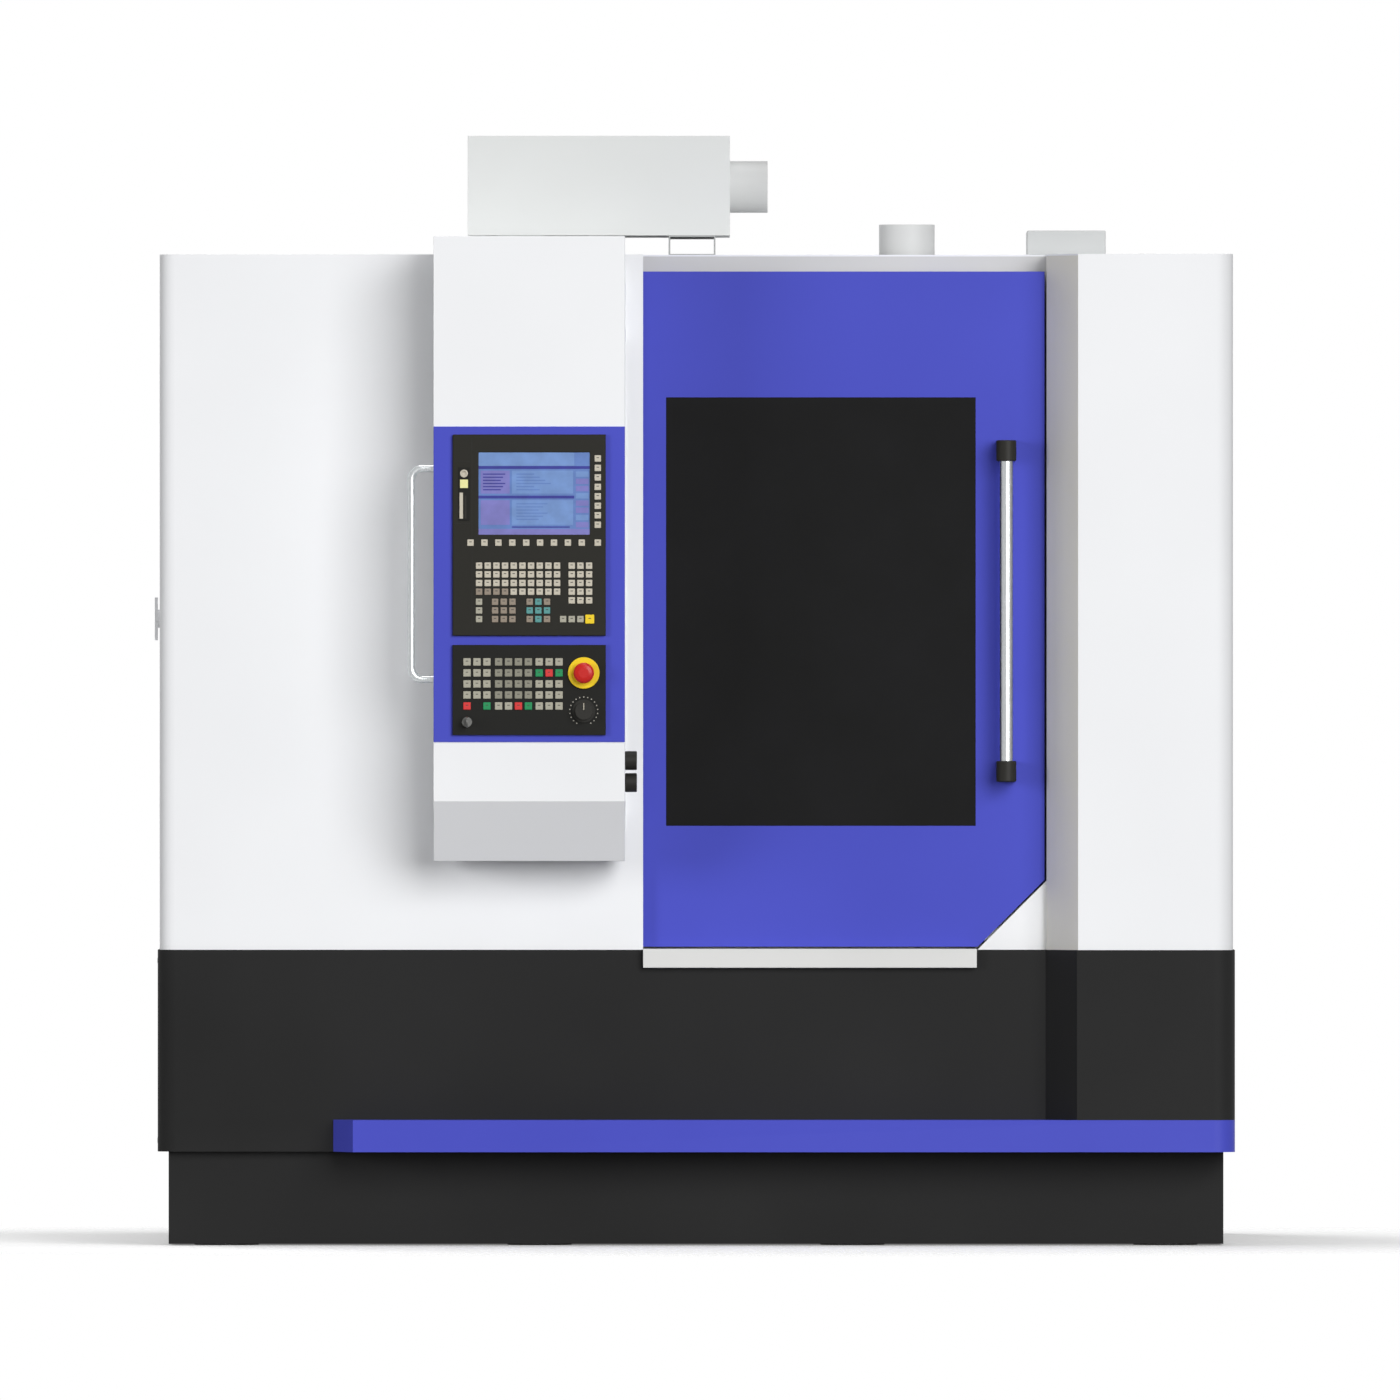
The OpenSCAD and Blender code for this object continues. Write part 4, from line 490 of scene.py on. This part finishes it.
# Places from the panel's left and top edges
operatorKeyLayout = {"cursorLeft": 145 * mm, "cursorRight": 199 * mm, "lowerTop": -322 * mm, "wide": 15 * mm,
                     "shiftLow": -319 * mm, "shiftTop": -305 * mm, "shiftRight": 112 * mm,
                     "lastRow": -350 * mm, "singleRight": 66 * mm, "cursorRow": -351 * mm, "reach": 8 * mm}


def operatorTone(low, high):
    x = (low.x + high.x) / 2 - panelLow.x
    z = (low.z + high.z) / 2 - panelHigh.z
    layout = operatorKeyLayout
    if high.x - low.x > layout["wide"]:
        return "keyYellow"
    if z < layout["lastRow"] and x > layout["cursorRight"]:
        return "keyGrey"
    if z < layout["lowerTop"] and x < layout["singleRight"]:
        return "keyGrey"
    if z < layout["lowerTop"] and layout["cursorLeft"] < x < layout["cursorRight"]:
        middleColumn = abs(x - (layout["cursorLeft"] + layout["cursorRight"]) / 2) < layout["reach"]
        middleRow = abs(z - layout["cursorRow"]) < layout["reach"]
        return "keyTeal" if middleColumn or middleRow else "keyDim"
    if z < layout["lowerTop"] and x < layout["cursorLeft"]:
        return "keyDim"
    if layout["shiftLow"] < z < layout["shiftTop"] and x < layout["shiftRight"]:
        return "keyDim"
    return "keyPale"


operatorSlots = ["keyPale", "keyGrey", "keyDim", "keyTeal", "keyYellow"]
operatorKeys = paintKeys("operator_keys", operatorSlots, operatorTone)
machineKeyLayout = {"first": 29 * mm, "second": 92 * mm, "third": 173 * mm, "pitch": 19.8 * mm,
                    "top": -34 * mm, "row": 22 * mm, "reach": 8 * mm, "oliveRows": 4}
# Coloured keys by group, column and row
machineToneAt = {
    ("third", 0, 1): "keyGreen", ("third", 1, 1): "keyRed", ("third", 2, 1): "keyGreen",
    ("first", 0, 4): "keyRed", ("first", 2, 4): "keyGreen",
    ("second", 2, 4): "keyRed", ("second", 3, 4): "keyGreen",
}


def machineTone(low, high):
    x = (low.x + high.x) / 2 - machineLow.x
    z = (low.z + high.z) / 2 - machineHigh.z
    layout = machineKeyLayout
    group = "first"
    for later in ("second", "third"):
        if x > layout[later] - layout["reach"]:
            group = later
    column = round((x - layout[group]) / layout["pitch"])
    row = round((layout["top"] - z) / layout["row"])
    plain = "keyOlive" if group == "second" and row < layout["oliveRows"] else "keyGrey"
    return machineToneAt.get((group, column, row), plain)


machineKeys = paintKeys("machine_keys", ["keyGrey", "keyOlive", "keyRed", "keyGreen"], machineTone)

markEdge = 0.2  # share of a mark's thickness


# Small flat mark that faces the front, centred on the origin
def flatMark(name, width, height, thick):
    bm = bmesh.new()
    addBox(bm, (-width / 2, -thick / 2, -height / 2), (width / 2, thick / 2, height / 2))
    breakEdges(bm, thick * markEdge)
    return bpy.data.objects.new(name, meshFrom(bm, name))


# A plain dash on each key
legend = {"width": 5.0 * mm, "height": 1.6 * mm, "thick": 0.3 * mm, "rise": 1.6 * mm}
legendHead = flatMark("legendHead", legend["width"], legend["height"], legend["thick"])
legendPlaces = [((low.x + high.x) / 2, low.y, (low.z + high.z) / 2 + legend["rise"])
                for low, high in operatorKeys + machineKeys]
repeatPiece("keyLegends", legendPlaces, legendHead, unturned, "markInk", "pendant")
print("stage: keys coloured")


# Display picture: plain fields, rules, softkey tabs and text lines, as shares of the screen
screenLow, screenHigh = [Vector(corner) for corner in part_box("screen")]
screenSize = screenHigh - screenLow
display = {"lift": 0.4 * mm, "slots": ["screenPale", "screenLilac", "screenNavy", "screenBlue"]}
displayFields = [
    {"across": (0.0, 0.86), "up": (0.84, 1.0), "tone": "screenPale"},
    {"across": (0.0, 1.0), "up": (0.8, 0.835), "tone": "screenNavy"},
    {"across": (0.02, 0.28), "up": (0.5, 0.78), "tone": "screenLilac"},
    {"across": (0.3, 0.85), "up": (0.5, 0.78), "tone": "screenPale"},
    {"across": (0.0, 0.86), "up": (0.44, 0.475), "tone": "screenNavy"},
    {"across": (0.02, 0.28), "up": (0.12, 0.42), "tone": "screenLilac"},
    {"across": (0.3, 0.85), "up": (0.12, 0.42), "tone": "screenPale"},
    {"across": (0.3, 0.82), "up": (0.085, 0.1), "tone": "screenNavy"},
    {"across": (0.0, 1.0), "up": (0.0, 0.07), "tone": "screenLilac"},
]
displayTabs = {"count": 8, "top": 0.78, "pitch": 0.088, "across": (0.875, 0.99), "up": (0.012, 0.078),
               "paleEvery": 3}
# Each line of a text block differs in length from the one before, by a step that starts again after a few
displayLines = [
    {"count": 6, "first": 0.73, "pitch": 0.038, "height": 0.014, "across": (0.04, 0.24), "step": -0.02,
     "again": 3, "tone": "screenNavy"},
    {"count": 6, "first": 0.73, "pitch": 0.038, "height": 0.014, "across": (0.34, 0.5), "step": 0.05,
     "again": 4, "tone": "screenBlue"},
    {"count": 6, "first": 0.37, "pitch": 0.038, "height": 0.012, "across": (0.34, 0.62), "step": -0.04,
     "again": 3, "tone": "screenBlue"},
]


def displayField(bm, across, up, tone, layer=1):
    addBox(bm, (screenLow.x + screenSize.x * across[0], screenLow.y - display["lift"] * layer,
                screenLow.z + screenSize.z * up[0]),
           (screenLow.x + screenSize.x * across[1], screenLow.y, screenLow.z + screenSize.z * up[1]),
           display["slots"].index(tone))


bm = bmesh.new()
for field in displayFields:
    displayField(bm, field["across"], field["up"], field["tone"])
for i in range(displayTabs["count"]):
    low = displayTabs["top"] - (i + 1) * displayTabs["pitch"]
    displayField(bm, displayTabs["across"], [low + share for share in displayTabs["up"]],
                 "screenLilac" if i % displayTabs["paleEvery"] else "screenPale")
for block in displayLines:
    for i in range(block["count"]):
        low = block["first"] - i * block["pitch"]
        right = block["across"][1] + block["step"] * (i % block["again"])
        displayField(bm, (block["across"][0], right), (low, low + block["height"]), block["tone"], layer=2)
newPiece("displayPicture", bm, display["slots"], "pendant")


# Operator panel trim: lid of the interface bay, lamp, socket cover, slot and seams
# Places in millimetres from the panel's left edge, top edge and face
trim = {
    "lid": {"across": (12, 34), "down": (-172, -66), "rise": (0, 1.5), "finish": "machineBezel"},
    "lamp": {"across": (15, 31), "down": (-107, -90), "rise": (1.5, 2.2), "finish": "lampPale"},
    "socketCover": {"across": (14, 21), "down": (-168, -116), "rise": (1.5, 2.2), "finish": "keyPale"},
    "fingerSlot": {"across": (24, 28), "down": (-168, -122), "rise": (1.5, 2.0), "finish": "blackPlastic"},
    "seamAbove": {"across": (3, 36), "down": (-54, -52.8), "rise": (0, 0.3), "finish": "blackPlastic"},
    "seamBelow": {"across": (3, 36), "down": (-178, -176.8), "rise": (0, 0.3), "finish": "blackPlastic"},
    "seamBeside": {"across": (38, 39.5), "down": (-394, -8), "rise": (0, 0.3), "finish": "blackPlastic"},
}
trimSlots = ["machineBezel", "keyPale", "lampPale", "blackPlastic"]
trimEdge = 0.12 * mm
bm = bmesh.new()
for part in trim.values():
    left, right = [panelLow.x + place * mm for place in part["across"]]
    back, front = [panelLow.y - place * mm for place in part["rise"]]
    bottom, top = [panelHigh.z + place * mm for place in part["down"]]
    addBox(bm, (left, front, bottom), (right, back, top), trimSlots.index(part["finish"]))
breakEdges(bm, trimEdge)
newPiece("interfaceFlap", bm, trimSlots, "pendant")

# Round lock on the lid: an outline of radius and height turned round an axis along Y
lock = {"across": 23 * mm, "down": -78 * mm, "outer": 8 * mm, "chamfer": 1 * mm, "inner": 4.5 * mm,
        "shoulder": 1.2 * mm, "height": 1.8 * mm, "floor": 0.2 * mm, "centre": 0.1 * mm, "sides": 40}
lockOutline = [(lock["outer"], 0), (lock["outer"], lock["shoulder"]),
               (lock["outer"] - lock["chamfer"], lock["height"]), (lock["inner"], lock["height"]),
               (lock["inner"], lock["floor"]), (lock["centre"], lock["floor"])]
lockSeat = Vector((panelLow.x + lock["across"], panelLow.y - trim["lid"]["rise"][1] * mm,
                   panelHigh.z + lock["down"]))
bm = bmesh.new()
loops = []
for radius, rise in lockOutline:
    turns = [2 * math.pi * i / lock["sides"] for i in range(lock["sides"])]
    loops.append([bm.verts.new(lockSeat + Vector((radius * math.cos(turn), -rise, radius * math.sin(turn))))
                  for turn in turns])
skinLoops(bm, loops, smooth=True)
newPiece("flapLock", bm, ["keyPale"], "pendant")


# Dial dots round the override knob
knobLow, knobHigh = [Vector(corner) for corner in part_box("override_knob")]
knobCentre = (knobLow + knobHigh) / 2
dial = {"radius": 28 * mm, "dots": 19, "sweep": 300, "dotSide": 2.2 * mm, "dotThick": 0.4 * mm}
dotHead = flatMark("dotHead", dial["dotSide"], dial["dotSide"], dial["dotThick"])
dotPlaces = []
for i in range(dial["dots"]):
    turn = math.radians(90 + dial["sweep"] / 2 - dial["sweep"] * i / (dial["dots"] - 1))
    dotPlaces.append((knobCentre.x + dial["radius"] * math.cos(turn), machineLow.y,
                      knobCentre.z + dial["radius"] * math.sin(turn)))
repeatPiece("dialDots", dotPlaces, dotHead, unturned, "paleInk", "pendant")

# Pale pointer in the knob's groove
pointer = {"half": 1 * mm, "front": 1.2 * mm, "back": 3 * mm, "inner": 2 * mm, "outer": 16 * mm,
           "edge": 0.2 * mm}
bm = bmesh.new()
addBox(bm, (knobCentre.x - pointer["half"], knobLow.y + pointer["front"], knobCentre.z + pointer["inner"]),
       (knobCentre.x + pointer["half"], knobLow.y + pointer["back"], knobCentre.z + pointer["outer"]))
breakEdges(bm, pointer["edge"])
newPiece("knobPointer", bm, ["keyPale"], "override")
print("stage: panel trim made")


# Panel screws: button heads with a hexagon recess
# Outlines give shares of the radius and of the height, from the seat over the rim to the recess floor
panelScrew = {"radius": 6.5 * mm, "height": 1.2 * mm, "sides": 24, "inset": 22 * mm, "spacing": 430 * mm,
              "outline": [(1.0, 0.0), (1.0, 0.35), (0.86, 0.75), (0.6, 1.0)],
              "recess": [(0.42, 1.0), (0.42, 0.45)]}
quarter = math.pi / 2


# Axis along Z, seated at the origin
def screwHead():
    bm = bmesh.new()
    loops = []
    sixth = math.pi / 3
    rings = [(*ring, False) for ring in panelScrew["outline"]]
    rings += [(*ring, True) for ring in panelScrew["recess"]]
    for share, rise, hexagon in rings:
        loop = []
        for i in range(panelScrew["sides"]):
            turn = 2 * math.pi * i / panelScrew["sides"]
            reach = panelScrew["radius"] * share
            if hexagon:
                reach *= math.cos(sixth / 2) / math.cos(turn % sixth - sixth / 2)
            height = panelScrew["height"] * rise
            loop.append(bm.verts.new((reach * math.cos(turn), reach * math.sin(turn), height)))
        loops.append(loop)
    skinLoops(bm, loops)
    bm.faces.new(loops[-1])
    return bpy.data.objects.new("panelScrewHead", meshFrom(bm, "panelScrewHead"))


def evenPlaces(start, end, spacing):
    count = max(1, round((end - start) / spacing))
    return [start + (end - start) * i / count for i in range(count + 1)]


# Places round the rim of a field, from its low and high corner
def rimPlaces(low, high):
    columns, rows = [evenPlaces(start + panelScrew["inset"], end - panelScrew["inset"], panelScrew["spacing"])
                     for start, end in zip(low, high)]
    places = [(column, row) for column in columns for row in (rows[0], rows[-1])]
    return places + [(column, row) for row in rows[1:-1] for column in (columns[0], columns[-1])]


sheetCoats = {
    "white": {"finish": "whiteCoat", "slot": "white_paint", "joint": "jointShade"},
    "black": {"finish": "blackCoat", "slot": "black_paint", "joint": "jointShadeDark"},
}
# Outer sheets: the axis across the sheet, 1 where its high side is seen, the turn of a screw head and the
# joints between sheets. Some have a plane of their own, as other parts of the node stand past it, a
# first field to skip, which has no screws, or a front edge further back
outerSheets = {
    "right": {"node": "right_side_panel", "axis": 0, "side": 1, "turn": (0, quarter, 0),
              "joints": (-134 * mm, 451 * mm), "coat": "white"},
    "left": {"node": "left_side_panel", "axis": 0, "side": 0, "turn": (0, -quarter, 0),
             "joints": (60 * mm, 550 * mm), "coat": "white", "plane": -1074 * mm, "skip": 1},
    "rear": {"node": "rear_panel", "axis": 1, "side": 1, "turn": (-quarter, 0, 0),
             "joints": (-358 * mm, 358 * mm), "coat": "white", "plane": 1040 * mm},
    "roof": {"node": "roof_panel", "axis": 2, "side": 1, "turn": unturned,
             "joints": (-620 * mm, 250 * mm), "coat": "white", "plane": 1984 * mm, "front": -680 * mm},
    "lowerRight": {"node": "lower_right_panel", "axis": 0, "side": 1, "turn": (0, quarter, 0),
                   "joints": (160 * mm,), "coat": "black"},
    "lowerLeft": {"node": "lower_left_panel", "axis": 0, "side": 0, "turn": (0, -quarter, 0),
                  "joints": (160 * mm,), "coat": "black"},
    "lowerRear": {"node": "lower_rear_panel", "axis": 1, "side": 1, "turn": (-quarter, 0, 0),
                  "joints": (0.0,), "coat": "black"},
}
# Joint strips: thin strips over the joints between sheets, coloured as the painted shade of the gap
joint = {"width": 2.4 * mm, "rise": 0.3 * mm, "margin": 3 * mm, "edge": 0.1 * mm,
         "slots": ["jointShade", "jointShadeDark"]}
screwShape = screwHead()
jointMesh = bmesh.new()
for name, sheet in outerSheets.items():
    low, high = [list(corner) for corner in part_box(sheet["node"])]
    low[1] = sheet.get("front", low[1])
    axis = sheet["axis"]
    level = sheet.get("plane", (low, high)[sheet["side"]][axis])
    wide, tall = [other for other in range(3) if other != axis]
    coat = sheetCoats[sheet["coat"]]
    edges = [low[wide], *sheet["joints"], high[wide]]
    places = []
    for start, end in list(zip(edges, edges[1:]))[sheet.get("skip", 0):]:
        for column, row in rimPlaces((start, low[tall]), (end, high[tall])):
            place = [0, 0, 0]
            place[wide], place[tall], place[axis] = column, row, level
            places.append(place)
    repeatPiece(name + "Screws", places, screwShape, sheet["turn"], coat["finish"], "machine")
    for middle in sheet["joints"]:
        corners = []
        for reach, sign in ((low, -1), (high, 1)):
            corner = [0, 0, 0]
            corner[wide] = middle + sign * joint["width"] / 2
            corner[tall] = reach[tall] - sign * joint["margin"]
            corner[axis] = level + sign * joint["rise"]
            corners.append(corner)
        addBox(jointMesh, *corners, joint["slots"].index(coat["joint"]))
breakEdges(jointMesh, joint["edge"])
newPiece("sheetJoints", jointMesh, joint["slots"], "machine")

# Hoods over the rear louvres
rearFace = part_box("rear_panel")[1][1]
louvre = {"columns": (-537 * mm, 537 * mm), "count": 8, "first": 792 * mm, "pitch": 40 * mm,
          "length": 266 * mm, "top": 12 * mm, "lip": -6 * mm, "out": 9 * mm, "sheet": 1.5 * mm}


# Pressed hood: sloping front, closed ends, open below
def louvreHood():
    half = louvre["length"] / 2
    top, lip, out, sheet = louvre["top"], louvre["lip"], louvre["out"], louvre["sheet"]
    outer = [(0.0, top), (sheet, top), (out, lip + sheet), (out, lip)]
    inner = [(out - sheet, lip), (sheet / 2, top - 2 * sheet), (0.0, top - 2 * sheet)]
    cheek = [*outer, (0.0, lip)]
    bm = bmesh.new()
    spans = [(outer + inner, -half, half), (cheek, -half - sheet, -half), (cheek, half, half + sheet)]
    for profile, start, end in spans:
        ends = [[bm.verts.new((x, y, z)) for y, z in profile] for x in (start, end)]
        skinLoops(bm, ends)
        bm.faces.new(ends[0])
        bm.faces.new(list(reversed(ends[1])))
    bmesh.ops.recalc_face_normals(bm, faces=bm.faces[:])
    return bpy.data.objects.new("louvreHood", meshFrom(bm, "louvreHood"))


hoodPlaces = [(x, rearFace, louvre["first"] + i * louvre["pitch"])
              for x in louvre["columns"] for i in range(louvre["count"])]
repeatPiece("louvreHoods", hoodPlaces, louvreHood(), unturned, "whiteCoat", "machine")
print("stage: screws and louvres made")


# Pale floor that fades out at its rim. It throws back less light than it shows, and its lift is a glow
# that only the camera sees, so that the shadow stays soft
floorShape = {"radius": 2.5, "sides": 96, "rim": 0.02, "solid": 0.36, "lift": 0.2, "tone": "#FBFBFB",
              "bounceTone": "#9C9C9C", "rough": 0.9, "specular": 0.1}
floorTurns = [2 * math.pi * i / floorShape["sides"] for i in range(floorShape["sides"])]
floorRing = [(floorShape["radius"] * math.cos(turn), floorShape["radius"] * math.sin(turn), 0)
             for turn in floorTurns]
floorMesh = bpy.data.meshes.new("floor")
floorMesh.from_pydata(floorRing, [], [tuple(range(floorShape["sides"]))])
floor = bpy.data.objects.new("floor", floorMesh)
floorMaterial, floorTree, floorShader = newMaterial("paintedStudioFloor")
floorRays = addNode(floorTree, "ShaderNodeLightPath")
floorTone = addNode(floorTree, "ShaderNodeValToRGB",
                    {"stops": [(0.0, linear(floorShape["tone"])), (1.0, linear(floorShape["bounceTone"]))]},
                    {"Fac": floorRays.outputs["Is Diffuse Ray"]})
floorLift = addNode(floorTree, "ShaderNodeMapRange", {"To Max": floorShape["lift"]},
                    {"Value": floorRays.outputs["Is Camera Ray"]})
floorPlace = addNode(floorTree, "ShaderNodeTexCoord").outputs["Object"]
floorShare = addNode(floorTree, "ShaderNodeMapping", {"Scale": (1 / floorShape["radius"],) * 3},
                     {"Vector": floorPlace})
floorFade = addNode(floorTree, "ShaderNodeTexGradient", {"gradient_type": "SPHERICAL"},
                    {"Vector": floorShare.outputs["Vector"]})
floorEdge = addNode(floorTree, "ShaderNodeMapRange",
                    {"From Min": floorShape["rim"], "From Max": floorShape["solid"],
                     "interpolation_type": "SMOOTHSTEP"}, {"Value": floorFade.outputs["Fac"]})
floorTree.links.new(floorTone.outputs["Color"], floorShader.inputs["Base Color"])
floorTree.links.new(floorLift.outputs["Result"], floorShader.inputs["Emission Strength"])
floorTree.links.new(floorEdge.outputs["Result"], floorShader.inputs["Alpha"])
floorShader.inputs["Roughness"].default_value = floorShape["rough"]
floorShader.inputs["Specular IOR Level"].default_value = floorShape["specular"]
floorMesh.materials.append(floorMaterial)
scene.collection.objects.link(floor)

# White surroundings: full for the camera, nearly so in reflections, dim as light on the machine
studioLight = {"ambient": 0.09, "mirrored": 0.7, "backdrop": 1.0}
skyOfRay = {"Is Glossy Ray": "mirrored", "Is Transmission Ray": "mirrored", "Is Camera Ray": "backdrop"}
world = bpy.data.worlds.new("studio")
scene.world = world
world.use_nodes = True
worldTree = world.node_tree
worldTree.nodes.clear()
rays = addNode(worldTree, "ShaderNodeLightPath")
skies = {}
for sky, strength in studioLight.items():
    background = addNode(worldTree, "ShaderNodeBackground",
                         {"Color": linear("#FFFFFF"), "Strength": strength})
    skies[sky] = background.outputs["Background"]
seen = skies["ambient"]
for ray, sky in skyOfRay.items():
    mix = addNode(worldTree, "ShaderNodeMixShader", links={0: rays.outputs[ray], 1: seen, 2: skies[sky]})
    seen = mix.outputs["Shader"]
addNode(worldTree, "ShaderNodeOutputWorld", links={"Surface": seen})

# Large square lamps, places and sizes in metres, power in watts
frontTarget = (0.0, -0.8, 1.1)
lamps = {
    "keyLight": {"place": (12.0, -25.5, 9.0), "target": frontTarget, "size": 18.0, "power": 7050,
                 "glossy": True},
    "leftFill": {"place": (-20.0, -16.0, 4.0), "target": frontTarget, "size": 8.0, "power": 2100,
                 "glossy": False},
    "topLight": {"place": (0.0, 1.0, 30.0), "target": (0.0, 1.0, 0.0), "size": 14.0, "power": 2700,
                 "glossy": True},
    "rearFill": {"place": (-12.0, 25.0, 9.0), "target": (0.0, 1.0, 1.1), "size": 14.0, "power": 5200,
                 "glossy": False},
}
for name, lamp in lamps.items():
    lampData = bpy.data.lights.new(name, "AREA")
    lampData.shape = "SQUARE"
    lampData.size = lamp["size"]
    lampData.energy = lamp["power"]
    light = bpy.data.objects.new(name, lampData)
    light.location = lamp["place"]
    aim = Vector(lamp["target"]) - Vector(lamp["place"])
    light.rotation_euler = aim.to_track_quat("-Z", "Y").to_euler()
    light.visible_glossy = lamp["glossy"]
    scene.collection.objects.link(light)

# Camera straight in front, far off, so that the view is nearly parallel. The width is that of the frame
# at the plane of the front panels
view = {"lens": 1000, "sensor": 36, "width": 2.8, "centre": (0.008, 1.092), "plane": -0.85, "clipEnd": 400}
cameraData = bpy.data.cameras.new("photoCamera")
cameraData.lens = view["lens"]
cameraData.sensor_width = view["sensor"]
cameraData.clip_end = view["clipEnd"]
camera = bpy.data.objects.new("photoCamera", cameraData)
distance = view["width"] * view["lens"] / view["sensor"]
camera.location = (view["centre"][0], view["plane"] - distance, view["centre"][1])
camera.rotation_euler = (quarter, 0, 0)
scene.collection.objects.link(camera)
scene.camera = camera
scene.view_settings.view_transform = "Standard"
print("stage: light and camera set")
